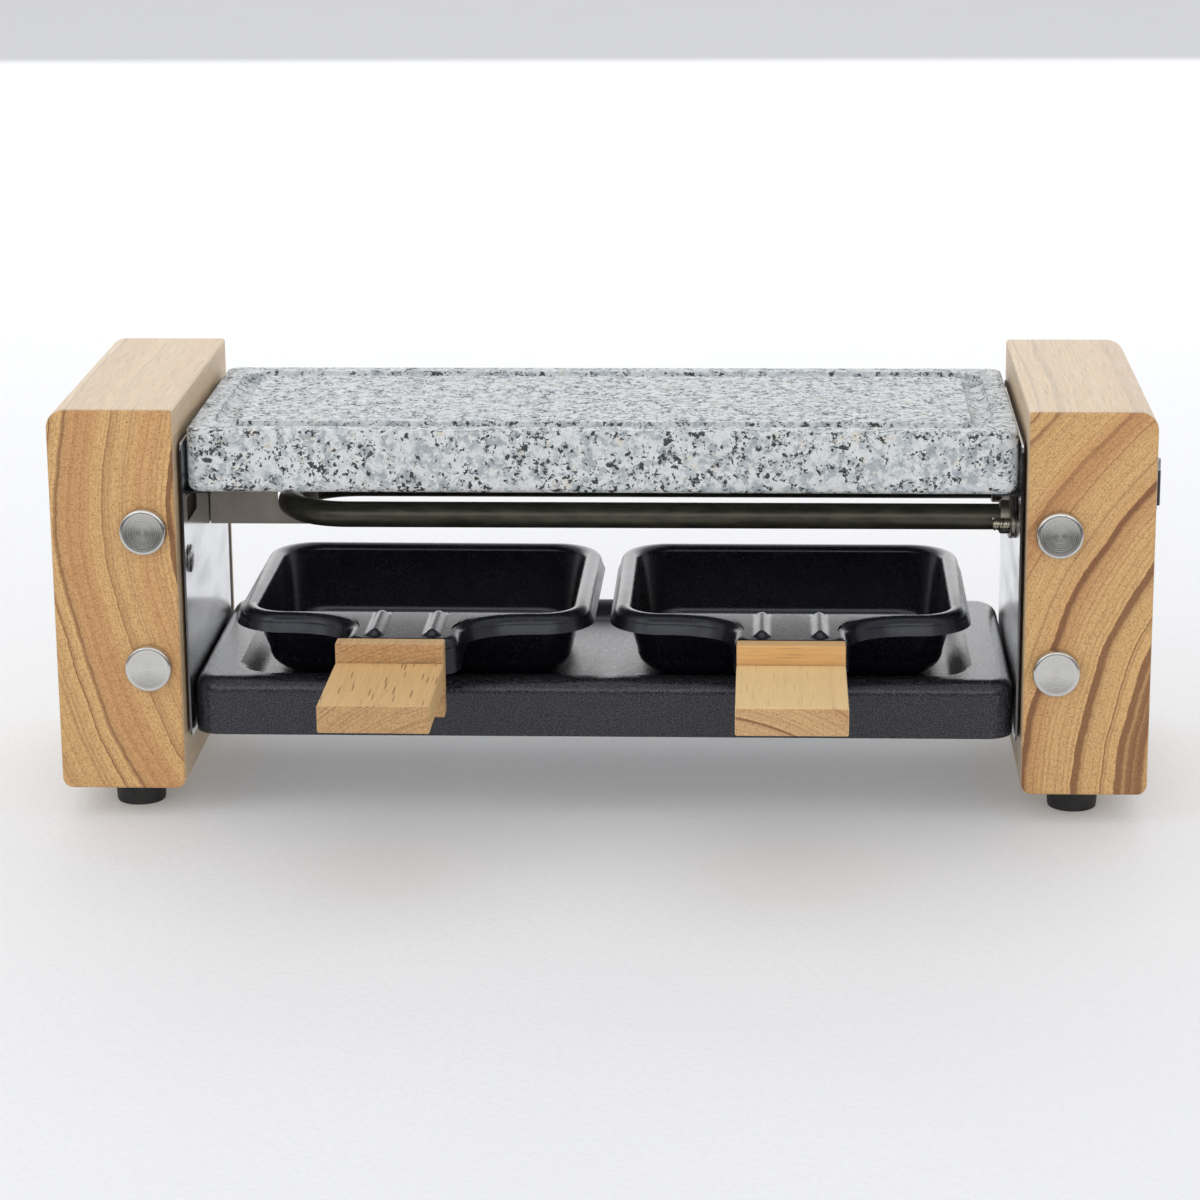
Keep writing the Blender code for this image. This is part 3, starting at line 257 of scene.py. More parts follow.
def box_of(node):
    """A node's lowest and highest corners as vectors."""
    low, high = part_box(node)
    return Vector(low), Vector(high)


def middle_of(node):
    """The middle of a node's box."""
    low, high = box_of(node)
    return (low + high) / 2


def facing(direction):
    """The turn that points a piece made along +Z in a direction."""
    return Vector((0, 0, 1)).rotation_difference(Vector(direction)).to_matrix().to_4x4()


def sided(name):
    """A node's name on the left and on the right."""
    return ["left_" + name, "right_" + name]


def at_corners(name):
    """A node's name at the front and the back of each side."""
    return [f"{side}_{end}_{name}" for side in ("left", "right") for end in ("front", "back")]


def placed(name, data):
    """An object in the scene that holds some data."""
    holder = bpy.data.objects.new(name, data)
    bpy.context.scene.collection.objects.link(holder)
    return holder


class Tree:
    """A node tree under construction: it adds nodes and joins their sockets."""

    def __init__(self, tree):
        self.tree = tree

    def feed(self, target, value):
        """Join a source to a socket, or give the socket a fixed number, word or colour."""
        if isinstance(value, bpy.types.NodeSocket):
            self.tree.links.new(value, target)
        elif target.type == "RGBA" and len(value) == 3:
            target.default_value = (*value, 1.0)
        else:
            target.default_value = value

    def add(self, kind, inputs, **settings):
        """A node with its settings made and its sockets fed."""
        node = self.tree.nodes.new(kind)
        for key, value in settings.items():
            setattr(node, key, value)
        for socket, value in inputs.items():
            self.feed(node.inputs[socket], value)
        return node

    def made(self, kind, inputs, output=0, **settings):
        """What a new node gives, by its first output or a named one."""
        return self.add(kind, inputs, **settings).outputs[output]


class Finish(Tree):
    """A material under construction, with its patterns laid out in millimetres."""

    def __init__(self, name, roughness=0.5, metallic=0.0, colour=(0.5, 0.5, 0.5)):
        self.material = bpy.data.materials.new(name)
        self.material.use_nodes = True
        super().__init__(self.material.node_tree)
        self.shader = self.tree.nodes["Principled BSDF"]
        self.paint("Roughness", roughness)
        self.paint("Metallic", metallic)
        self.paint("Base Color", colour)
        self.metres = self.made("ShaderNodeTexCoord", {}, "Object")
        self.place = self.vector("SCALE", self.metres, Scale=millimetres_per_metre)

    def paint(self, socket, value):
        """Feed one of the shader's sockets."""
        self.feed(self.shader.inputs[socket], value)

    def vector(self, operation, first, second=None, **more):
        """Vector arithmetic."""
        inputs = {0: first, **more}
        if second is not None:
            inputs[1] = second
        output = "Value" if operation == "LENGTH" else "Vector"
        return self.made("ShaderNodeVectorMath", inputs, output, operation=operation)

    def number(self, operation, first, second=0.0, clamp=False):
        """Arithmetic on numbers."""
        inputs = {0: first, 1: second}
        return self.made("ShaderNodeMath", inputs, operation=operation, use_clamp=clamp)

    def plus(self, first, second, clamp=False):
        """The sum of two numbers."""
        return self.number("ADD", first, second, clamp)

    def times(self, first, second):
        """The product of two numbers."""
        return self.number("MULTIPLY", first, second)

    def between(self, value, low, high, out_low=0.0, out_high=1.0):
        """A smooth step of a number from one range to another, held at its ends."""
        ranges = {"Value": value, "From Min": low, "From Max": high, "To Min": out_low,
                  "To Max": out_high}
        return self.made("ShaderNodeMapRange", ranges, interpolation_type="SMOOTHSTEP")

    def stretch(self, factors):
        """The place drawn out along one axis or more."""
        return self.vector("MULTIPLY", self.place, factors)

    def noise(self, source, scale, detail=2.0, roughness=0.5, part="Fac"):
        """Smooth noise, with its scale in cycles per millimetre."""
        inputs = {"Vector": source, "Scale": scale, "Detail": detail, "Roughness": roughness}
        return self.made("ShaderNodeTexNoise", inputs, part)

    def drift(self, source, scale, detail, reach):
        """A soft random shift, by up to half of reach each way."""
        shift = self.vector("SUBTRACT", self.noise(source, scale, detail, part="Color"), (0.5, 0.5, 0.5))
        return self.vector("SCALE", shift, Scale=reach)

    def line_noise(self, source, scale, detail=2.0):
        """Smooth noise along a single number."""
        inputs = {"W": source, "Scale": scale, "Detail": detail}
        return self.made("ShaderNodeTexNoise", inputs, noise_dimensions="1D")

    def cells(self, source, scale, part="Distance"):
        """Cell noise: the distance to a cell's seed, or a random colour for each cell."""
        return self.made("ShaderNodeTexVoronoi", {"Vector": source, "Scale": scale}, part)

    def cell_number(self, source, scale, channel="Red"):
        """A random number for each cell."""
        colour = self.cells(source, scale, "Color")
        return self.made("ShaderNodeSeparateColor", {"Color": colour}, channel)

    def random(self, source):
        """A fixed random number for a number."""
        return self.made("ShaderNodeTexWhiteNoise", {"W": source}, noise_dimensions="1D")

    def squareness(self, axis):
        """How squarely a face looks along an axis, from 0 to 1."""
        normal = self.made("ShaderNodeNewGeometry", {}, "Normal")
        return self.number("ABSOLUTE", self.made("ShaderNodeSeparateXYZ", {"Vector": normal}, axis))

    def ramp(self, value, stops):
        """A colour for a number, from stops of (place, colour)."""
        node = self.add("ShaderNodeValToRGB", {"Fac": value})
        elements = node.color_ramp.elements
        while len(elements) < len(stops):
            elements.new(1.0)
        for element, (place, colour) in zip(elements, stops):
            element.position = place
            element.color = (*colour, 1.0)
        return node.outputs["Color"]

    def mix(self, share, first, second, blend="MIX"):
        """Two colours mixed by a share."""
        colours = {0: share, 6: first, 7: second}
        return self.made("ShaderNodeMix", colours, 2, data_type="RGBA", blend_type=blend)

    def fade(self, value, low, high, first, second, most=1.0, blend="MIX"):
        """The first colour giving way to the second as a number rises, up to a share of most."""
        return self.mix(self.between(value, low, high, 0.0, most), first, second, blend)

    def colour_by(self, value, low, high, first, second):
        """Paint with two colours, by a number."""
        self.paint("Base Color", self.fade(value, low, high, first, second))

    def roughen_by(self, value, low, high, least, most):
        """Let the roughness follow a number."""
        self.paint("Roughness", self.between(value, low, high, least, most))

    def relief(self, height, depth):
        """Small surface relief that follows a number, with its depth in millimetres."""
        inputs = {"Height": height, "Distance": depth / millimetres_per_metre}
        self.paint("Normal", self.made("ShaderNodeBump", inputs))


def wood_finish(name, pith, ring_width, along="Y", pale=(0.67, 0.42, 0.175), cream_and_light=(0.66, 0.55, 0.40),
                side_wash_and_light=0.64, waver=3.0, seed=0.0, strong=1.0, dash=0.25):
    """Solid timber: growth rings round a pith, pores and fibres that run along one axis.

    The pith is a point in metres. The same pattern in space gives rings on end faces and long
    figure on the sides, which are paler, partly as the timber's own side grain, partly as painted light.
    """
    ring_brown = (0.26, 0.12, 0.042)
    band_brown = (0.86, 0.70, 0.66)
    fibre_brown = (0.66, 0.53, 0.40)
    pore_brown = (0.22, 0.105, 0.04)
    finish = Finish(name)
    run = tuple(0.05 if axis == along else 1 for axis in "XYZ")
    across = tuple(0 if axis == along else 1 for axis in "XYZ")
    start = finish.vector("ADD", finish.place, (seed, seed, seed))
    stretched = finish.vector("MULTIPLY", start, run)
    drift = finish.drift(finish.vector("MULTIPLY", start, (0.2, 0.1, 0.2)), 0.12, 2.0, waver * 2)
    ripple = finish.drift(stretched, 0.35, 3.0, waver * 0.28)
    shifted = finish.vector("ADD", finish.vector("ADD", finish.place, drift), ripple)
    pith_mm = tuple(millimetres_per_metre * value for value in pith)
    level = finish.vector("MULTIPLY", finish.vector("SUBTRACT", shifted, pith_mm), across)
    reach = finish.vector("LENGTH", level)

    radius = finish.number("DIVIDE", reach, ring_width)
    turn = finish.plus(radius, finish.times(finish.line_noise(radius, 0.55), 2.6))
    ring = finish.number("FLOOR", turn)
    within = finish.number("FRACT", turn)
    strength = finish.times(finish.between(finish.random(ring), 0.1, 0.9, 0.15, strong), 0.75)
    late = finish.times(finish.number("POWER", within, 2.4), strength)
    line = finish.times(finish.between(within, 0.80, 0.93), finish.between(within, 1.0, 0.97))
    line = finish.times(line, strength)
    faint = finish.line_noise(finish.times(reach, 1.25), 1.0, 3.0)
    faint = finish.between(faint, 0.38, 0.72, 0.0, 0.30)
    tone = finish.plus(finish.plus(late, line), faint, clamp=True)
    colour = finish.mix(tone, pale, ring_brown)
    band = finish.line_noise(finish.times(reach, 0.048), 1.0, 1.0)
    colour = finish.fade(band, 0.50, 0.72, colour, band_brown, 0.75, "MULTIPLY")

    fibre = finish.noise(stretched, 1.6, 3.0, 0.7)
    colour = finish.fade(fibre, 0.38, 0.68, colour, fibre_brown, 0.7, "MULTIPLY")
    seeds = finish.cells(stretched, 1.15)
    chance = finish.cell_number(stretched, 1.15)
    pore = finish.times(finish.between(seeds, 0.30, 0.14), finish.between(chance, 0.30, 0.6))

    end = finish.between(finish.squareness(along), 0.35, 0.85)
    # Faces along the grain turn towards the paler cream: partly the timber's own side grain, partly
    # painted light for the lit tops.
    colour = finish.mix(finish.between(end, 0.0, 1.0, side_wash_and_light, 0.0), colour, cream_and_light)
    shown = finish.times(pore, finish.between(end, 0.0, 1.0, dash, 0.75))
    finish.paint("Base Color", finish.mix(shown, colour, pore_brown))
    finish.roughen_by(fibre, 0.2, 0.8, 0.42, 0.58)
    finish.relief(finish.number("SUBTRACT", finish.times(fibre, 0.25), pore), 0.05)
    return finish.material


def granite_finish():
    """Pale granite: white and blue-grey grains, a few beige ones, and black flakes in clusters."""
    cloud_white = (0.62, 0.65, 0.665)
    smoky_blue = (0.27, 0.305, 0.33)
    fine_grey = (0.27, 0.30, 0.33)
    flake_black = (0.028, 0.033, 0.034)
    speck_black = (0.05, 0.055, 0.057)
    finish = Finish("granite_grain")
    finish.paint("Specular IOR Level", 0.28)
    place = finish.vector("ADD", finish.place, finish.drift(finish.place, 0.9, 3.0, 1.9))
    grain = finish.cell_number(place, 0.50)
    colour = finish.ramp(grain, [(0.0, (0.66, 0.68, 0.685)), (0.50, (0.56, 0.59, 0.60)),
                                 (0.58, (0.42, 0.45, 0.475)), (0.70, (0.35, 0.385, 0.41)),
                                 (0.74, (0.60, 0.62, 0.63)), (0.93, (0.66, 0.675, 0.675)),
                                 (0.96, (0.61, 0.565, 0.47)), (1.0, (0.64, 0.63, 0.60))])
    cloud = finish.noise(finish.place, 0.50, 4.0, 0.6)
    colour = finish.fade(cloud, 0.35, 0.65, colour, cloud_white, 0.65)
    smoke = finish.noise(finish.vector("ADD", place, (31.0, 17.0, 5.0)), 0.33, 3.0, 0.6)
    colour = finish.fade(smoke, 0.49, 0.63, colour, smoky_blue, 0.75)
    fine = finish.cell_number(place, 1.9, "Green")
    colour = finish.fade(fine, 0.72, 0.95, colour, fine_grey, 0.35)
    cluster = finish.noise(finish.place, 0.21, 3.0, 0.55)
    flake = finish.plus(finish.cell_number(place, 0.95, "Blue"), finish.times(cluster, 0.95))
    colour = finish.fade(flake, 1.355, 1.40, colour, flake_black, 0.97)
    speck = finish.plus(finish.cell_number(place, 1.7), finish.times(cluster, 0.8))
    colour = finish.fade(speck, 1.295, 1.34, colour, speck_black, 0.9)
    finish.paint("Base Color", colour)
    finish.roughen_by(grain, 0.0, 1.0, 0.48, 0.62)
    finish.relief(finish.plus(grain, finish.noise(finish.place, 2.2, 3.0)), 0.03)
    return finish.material


def turned_steel_finish():
    """Stainless steel turned on a lathe: fine rings round each cap's own middle."""
    finish = Finish("turned_steel", roughness=0.24, metallic=1.0, colour=(0.66, 0.655, 0.645))
    centre = finish.made("ShaderNodeAttribute", {}, "Vector", attribute_name="cap_middle")
    spoke = finish.vector("MULTIPLY", finish.vector("SUBTRACT", finish.metres, centre), (1, 0, 1))
    distance = finish.times(finish.vector("LENGTH", spoke), millimetres_per_metre)
    rings = finish.line_noise(distance, 3.4, 3.0)
    finish.paint("Tangent", finish.vector("NORMALIZE", spoke))
    finish.paint("Anisotropic", 0.6)
    finish.roughen_by(rings, 0.25, 0.75, 0.19, 0.29)
    finish.colour_by(rings, 0.35, 0.65, (0.60, 0.59, 0.56), (0.72, 0.71, 0.68))
    finish.relief(rings, 0.008)
    return finish.material


def sheet_steel_finish(name, colour, smooth, rough, depth=0.025, edge=0.0):
    """Bright sheet with soft smudges and shallow waves, with painted shade, by edge, on its faces that
    look along Y.
    """
    painted_edge_shade_colour = (0.05, 0.045, 0.042)
    finish = Finish(name, roughness=smooth, metallic=1.0, colour=colour)
    smudge = finish.noise(finish.stretch((0.14, 0.03, 0.09)), 1.0, 3.0)
    finish.roughen_by(smudge, 0.3, 0.75, smooth, rough)
    # Painted shade on the faces that look along Y, the sheet's thin edges, up to a share of edge.
    painted_edge_shade = finish.between(finish.squareness("Y"), 0.6, 0.9, 0.0, edge)
    shade = tuple(0.88 * value for value in colour)
    colour = finish.fade(smudge, 0.35, 0.7, colour, shade)
    finish.paint("Base Color", finish.mix(painted_edge_shade, colour, painted_edge_shade_colour))
    finish.relief(smudge, depth)
    return finish.material


def screw_steel_finish():
    """Plain plated steel for screws and inner hardware."""
    finish = Finish("screw_steel", roughness=0.3, metallic=1.0, colour=(0.55, 0.55, 0.55))
    scuff = finish.noise(finish.place, 1.4, 4.0, 0.6)
    finish.roughen_by(scuff, 0.3, 0.75, 0.22, 0.42)
    finish.colour_by(scuff, 0.4, 0.8, (0.60, 0.60, 0.60), (0.40, 0.40, 0.39))
    finish.relief(scuff, 0.02)
    return finish.material


def enamel_finish():
    """Black enamel with a fine grey speckle, lighter dots that are partly its own fleck and partly
    painted glints, and an orange-peel surface.
    """
    ground_black = (0.002, 0.002, 0.004)
    speckle_grey = (0.052, 0.052, 0.059)
    fleck_and_glint_grey = (0.12, 0.12, 0.135)
    finish = Finish("speckled_enamel", roughness=0.3)
    finish.paint("IOR", 1.55)
    finish.paint("Specular Tint", glaze_tint)
    chance = finish.between(finish.cell_number(finish.place, 2.4), 0.45, 0.95)
    fleck_and_glint_dot = finish.times(chance, finish.between(finish.cells(finish.place, 2.4), 0.48, 0.15))
    speckle = finish.noise(finish.place, 2.7, 0.0)
    base = finish.fade(speckle, 0.42, 0.70, ground_black, speckle_grey)
    # The lighter grey dots are partly the enamel's own fleck, partly painted glints.
    finish.paint("Base Color", finish.mix(finish.times(fleck_and_glint_dot, 0.45), base, fleck_and_glint_grey))
    peel = finish.noise(finish.place, 1.3)
    finish.roughen_by(peel, 0.25, 0.75, 0.26, 0.34)
    finish.relief(finish.plus(peel, fleck_and_glint_dot), 0.035)
    return finish.material


def coating_finish():
    """Black non-stick coating: satin, with a very fine grain and faint bluish painted glints."""
    finish = Finish("non_stick_coat", roughness=0.3)
    finish.paint("IOR", 1.5)
    finish.paint("Specular Tint", glaze_tint)
    grain = finish.noise(finish.place, 2.2, 1.0)
    painted_glint_cells = finish.cell_number(finish.place, 2.6)
    # Painted glints: random cells turn a faint bluish grey.
    finish.colour_by(painted_glint_cells, 0.55, 1.0, (0.003, 0.003, 0.005), (0.011, 0.012, 0.020))
    rough = finish.between(finish.noise(finish.place, 0.12, 3.0), 0.3, 0.7, 0.21, 0.25)
    finish.paint("Roughness", finish.plus(rough, finish.times(grain, 0.06)))
    finish.relief(finish.plus(grain, finish.times(painted_glint_cells, 0.4)), 0.004)
    return finish.material


def tube_finish():
    """The heater's sheath, heat-darkened steel with an olive cast."""
    olive_dark = (0.060, 0.058, 0.044)
    olive_light = (0.095, 0.092, 0.070)
    streak_dark = (0.042, 0.040, 0.031)
    finish = Finish("element_tube", roughness=0.42, metallic=0.75)
    mottle = finish.noise(finish.stretch((0.3, 1, 1)), 0.4, 3.0)
    streak = finish.noise(finish.stretch((0.05, 1, 1)), 1.6, 3.0)
    colour = finish.fade(mottle, 0.3, 0.7, olive_dark, olive_light)
    colour = finish.fade(streak, 0.5, 0.8, colour, streak_dark, 0.4)
    finish.paint("Base Color", colour)
    finish.roughen_by(mottle, 0.3, 0.7, 0.36, 0.46)
    finish.relief(streak, 0.01)
    return finish.material


def moulded_finish(name, colour, roughness):
    """Moulded rubber or plastic with a fine even texture."""
    finish = Finish(name, roughness=roughness, colour=colour)
    grain = finish.noise(finish.place, 2.2, 3.0, 0.6)
    cloud = finish.noise(finish.place, 0.25)
    light = tuple(1.5 * value + 0.006 for value in colour)
    finish.colour_by(cloud, 0.35, 0.75, colour, light)
    finish.roughen_by(grain, 0.3, 0.7, roughness - 0.06, roughness + 0.08)
    finish.relief(grain, 0.02)
    return finish.material


def board_finish():
    """Dark brown pressed insulating board."""
    finish = Finish("pressed_board", roughness=0.8)
    flake = finish.noise(finish.stretch((1, 0.6, 0.25)), 1.1, 4.0, 0.65)
    finish.colour_by(flake, 0.3, 0.7, (0.030, 0.017, 0.010), (0.075, 0.045, 0.028))
    finish.relief(flake, 0.08)
    return finish.material


def sleeve_finish():
    """Woven glass sleeving on the leads."""
    finish = Finish("woven_sleeve", roughness=0.7)
    weave = finish.cells(finish.place, 3.4)
    finish.colour_by(weave, 0.1, 0.6, (0.72, 0.69, 0.62), (0.50, 0.47, 0.41))
    finish.relief(weave, 0.1)
    return finish.material


def floor_finish():
    """Pale studio floor with a faint fine grain and a faint glow."""
    finish = Finish("studio_floor", roughness=0.75)
    grain = finish.noise(finish.place, 0.5, 4.0, 0.6)
    cloud = finish.noise(finish.place, 0.012)
    shade = tuple(0.955 * value for value in floor_colour)
    colour = finish.fade(grain, 0.3, 0.7, floor_colour, shade)
    finish.paint("Base Color", finish.fade(cloud, 0.3, 0.7, colour, shade, 0.4))
    finish.paint("Emission Color", floor_glow_colour)
    finish.paint("Emission Strength", floor_glow)
    finish.relief(grain, 0.25)
    return finish.material


class Recipe(Tree):
    """A Geometry Nodes tree under construction, with named inputs and one geometry out."""

    def __init__(self, name, **inputs):
        super().__init__(bpy.data.node_groups.new(name, "GeometryNodeTree"))
        sockets = self.tree.interface
        sockets.new_socket("Geometry", in_out="OUTPUT", socket_type="NodeSocketGeometry")
        for label, kind in {"Start": "Geometry", **inputs}.items():
            sockets.new_socket(label, in_out="INPUT", socket_type="NodeSocket" + kind)
        self.given = self.tree.nodes.new("NodeGroupInput").outputs

    def repeat(self, points, shape):
        """Copies of a shape on points, each turned by the turn that its point carries."""
        turn = self.made("GeometryNodeInputNamedAttribute", {"Name": "turn"}, "Attribute",
                         data_type="FLOAT_VECTOR")
        return self.made("GeometryNodeInstanceOnPoints",
                         {"Points": points, "Instance": shape, "Rotation": turn})

    def swept(self, path, section):
        """A section swept along a path, with its ends closed."""
        return self.made("GeometryNodeCurveToMesh",
                         {"Curve": path, "Profile Curve": section, "Fill Caps": True})

    def finish(self, geometry, material):
        """Realize what was repeated, give it its finish and hand it out."""
        real = self.made("GeometryNodeRealizeInstances", {"Geometry": geometry})
        coated = self.made("GeometryNodeSetMaterial", {"Geometry": real, "Material": material})
        self.add("NodeGroupOutput", {"Geometry": coated})

    def grow(self, name, start, **values):
        """Run the tree on a mesh and keep what it makes as a plain mesh."""
        holder = placed(name, start)
        modifier = holder.modifiers.new("shape", "NODES")
        modifier.node_group = self.tree
        for item in self.tree.interface.items_tree:
            if item.in_out == "INPUT" and item.name in values:
                modifier[item.identifier] = values[item.name]
        mesh = bpy.data.meshes.new_from_object(
            holder.evaluated_get(bpy.context.evaluated_depsgraph_get()))
        bpy.data.objects.remove(holder)
        return smoothed(mesh)


def smoothed(mesh):
    """Smooth shading that stops at true edges."""
    mesh.shade_smooth()
    mesh.set_sharp_from_angle(angle=sharp_angle)
    return mesh


def finished(name, bm):
    """Merge doubles, turn faces outwards and hand over the mesh."""
    bmesh.ops.remove_doubles(bm, verts=bm.verts, dist=merge_distance)
    bmesh.ops.recalc_face_normals(bm, faces=bm.faces)
    mesh = bpy.data.meshes.new(name)
    bm.to_mesh(mesh)
    bm.free()
    return smoothed(mesh)


def lofted(name, rings):
    """A closed body skinned over rings of equal count, with both ends filled."""
    bm = bmesh.new()
    loops = [[bm.verts.new(point) for point in ring] for ring in rings]
    count = len(loops[0])
    for lower, upper in zip(loops, loops[1:]):
        for index in range(count):
            after = (index + 1) % count
            bm.faces.new((lower[index], lower[after], upper[after], upper[index]))
    bm.faces.new(list(reversed(loops[0])))
    bm.faces.new(loops[-1])
    return finished(name, bm)


def turned(name, profile, sides=turned_sides, hollow=False):
    """A body turned about Z from (radius, height) points; a hollow one has a closed profile."""
    bm = bmesh.new()
    loops = []
    for radius, height in profile:
        if radius == 0:
            loops.append([bm.verts.new((0, 0, height))])
            continue
        ring = []
        for index in range(sides):
            angle = math.tau * index / sides
            ring.append(bm.verts.new((radius * math.cos(angle), radius * math.sin(angle), height)))
        loops.append(ring)
    pairs = list(zip(loops, loops[1:]))
    if hollow:
        pairs.append((loops[-1], loops[0]))
    for lower, upper in pairs:
        for index in range(sides):
            after = (index + 1) % sides
            corners = [lower[index % len(lower)], lower[after % len(lower)],
                       upper[after % len(upper)], upper[index % len(upper)]]
            bm.faces.new(list(dict.fromkeys(corners)))
    return finished(name, bm)


def rounded_outline(low, high, radii, steps=corner_steps):
    """Points round a rectangle, anticlockwise, each corner an arc of its own radius.

    The radii belong to the corners (high x, low y), (high, high), (low, high) and (low, low).
    """
    corners = ((high[0], low[1], -90), (high[0], high[1], 0), (low[0], high[1], 90),
               (low[0], low[1], 180))
    inward = ((-1, 1), (-1, -1), (1, -1), (1, 1))
    points = []
    for (across, along, start), (step_x, step_y), radius in zip(corners, inward, radii):
        centre_x = across + step_x * radius
        centre_y = along + step_y * radius
        for index in range(steps + 1):
            angle = math.radians(start) + math.pi / 2 * index / steps
            points.append((centre_x + radius * math.cos(angle), centre_y + radius * math.sin(angle)))
    return points


def quarter(steps):
    """Angles of a quarter turn."""
    return [math.pi / 2 * index / steps for index in range(steps + 1)]


def easing(radius, steps=arris_steps):
    """A quarter round as (inset, rise) pairs, from the flat face out to the wall."""
    return [(radius * (1 - math.sin(angle)), radius * (1 - math.cos(angle))) for angle in quarter(steps)]


def level_ring(low, high, inset, corner, height, steps=corner_steps, least=0.0):
    """A rounded rectangle lying flat at one height, drawn in by inset, corners too."""
    outline = rounded_outline((low[0] + inset, low[1] + inset), (high[0] - inset, high[1] - inset),
                              (max(corner - inset, least),) * 4, steps)
    return [(across, along, height) for across, along in outline]


def bar(name, start, end, radius):
    """A plain round bar from one point to another."""
    span = Vector(end) - Vector(start)
    mesh = turned(name, ((0, 0), (radius, 0), (radius, span.length), (0, span.length)))
    mesh.transform(Matrix.Translation(start) @ facing(span))
    return mesh


def reshape(mesh, tool_meshes, operation):
    """Cut meshes out of a mesh, or join them to it, one after another."""
    body = placed("body", mesh)
    for tool_mesh in tool_meshes:
        tool = placed("tool", tool_mesh)
        change = body.modifiers.new("change", "BOOLEAN")
        change.operation = operation
        change.solver = "EXACT"
        change.object = tool
        changed = body.evaluated_get(bpy.context.evaluated_depsgraph_get())
        body.data = bpy.data.meshes.new_from_object(changed)
        body.modifiers.clear()
        bpy.data.objects.remove(tool)
    result = body.data
    bpy.data.objects.remove(body)
    return smoothed(result)


def add_piece(name, mesh, finish, body, nodes=(), flat_faces=True):
    """Show a mesh as one piece of the object, riding on a body and standing for its nodes."""
    mesh.name = name
    mesh.materials.clear()
    mesh.materials.append(finish)
    piece = placed(name, mesh)
    if flat_faces:
        weights = piece.modifiers.new("even_faces", "WEIGHTED_NORMAL")
        weights.keep_sharp = True
    if nodes:
        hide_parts(*nodes)
    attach(piece, body)
    return piece


def coat(finish, *nodes):
    """Give carried-over nodes their finish."""
    for node in nodes:
        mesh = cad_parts[node].data
        mesh.materials.clear()
        mesh.materials.append(finish)


def build_camera():
    """The camera where the photograph was taken from."""
    camera = bpy.data.cameras.new("camera")
    camera.lens = camera_lens
    camera.sensor_width = camera_sensor
    camera.clip_start = camera_near
    holder = placed("camera", camera)
    forward = Vector((math.sin(camera_yaw) * math.cos(camera_pitch),
                      math.cos(camera_yaw) * math.cos(camera_pitch), -math.sin(camera_pitch)))
    level = Vector((math.cos(camera_yaw), -math.sin(camera_yaw), 0))
    upright = level.cross(forward)
    right = math.cos(camera_roll) * level + math.sin(camera_roll) * upright
    top = math.cos(camera_roll) * upright - math.sin(camera_roll) * level
    turn = Matrix((right, top, -forward)).transposed().to_4x4()
    holder.matrix_world = Matrix.Translation(camera_place) @ turn
    bpy.context.scene.camera = holder
    bpy.context.scene.view_settings.view_transform = "Standard"


def panel(name, corners, finish):
    """A flat panel through four corners."""
    mesh = bpy.data.meshes.new(name)
    mesh.from_pydata(corners, [], [(0, 1, 2, 3)])
    mesh.materials.append(finish)
    return placed(name, mesh)


def build_floor():
    """A pale floor under the feet."""
    half = floor_half_size
    corners = [(-half, -half, 0), (half, -half, 0), (half, half, 0), (-half, half, 0)]
    panel("floor", corners, floor_finish())


def build_flag():
    """A black flag in front of the grill that only reflections see, as in a studio."""
    corners = [(-flag_half_width, flag_y, 0), (flag_half_width, flag_y, 0),
               (flag_half_width, flag_y, flag_height), (-flag_half_width, flag_y, flag_height)]
    flag = panel("flag", corners, Finish("flag", roughness=1.0, colour=flag_colour).material)
    flag.visible_camera = False
    flag.visible_diffuse = False
    flag.visible_shadow = False


def build_light(name, size, place, target, power):
    """A soft rectangular light pointed at a place."""
    light = bpy.data.lights.new(name, "AREA")
    light.shape = "RECTANGLE"
    light.size, light.size_y = size
    light.energy = power
    holder = placed(name, light)
    holder.visible_camera = False
    aim = Vector(target) - Vector(place)
    holder.matrix_world = Matrix.Translation(place) @ aim.to_track_quat("-Z", "Y").to_matrix().to_4x4()


def build_room():
    """A bright backdrop behind the grill, and a plainer pale light from everywhere else."""
    world = bpy.data.worlds.new("studio")
    world.use_nodes = True
    bpy.context.scene.world = world
    room = Tree(world.node_tree)
    lit = room.tree.nodes["Background"]
    room.feed(lit.inputs["Color"], room_light_colour)
    room.feed(lit.inputs["Strength"], room_light_strength)
    seen = room.made("ShaderNodeBackground", {"Color": backdrop_colour})
    seen_directly = room.made("ShaderNodeLightPath", {}, "Is Camera Ray")
    choice = room.made("ShaderNodeMixShader", {0: seen_directly, 1: lit.outputs["Background"], 2: seen})
    room.feed(room.tree.nodes["World Output"].inputs["Surface"], choice)


def block_outline(low, high, word, inset):
    """An end block's front view, with its four different corners."""
    radii = [block_bottom_radius, block_outer_top_radius, block_inner_top_radius, block_bottom_radius]
    if word == "left":
        radii[1], radii[2] = radii[2], radii[1]
    least = block_inner_top_radius / 2
    return rounded_outline((low.x + inset, low.z + inset), (high.x - inset, high.z - inset),
                           [max(radius - inset, least) for radius in radii])


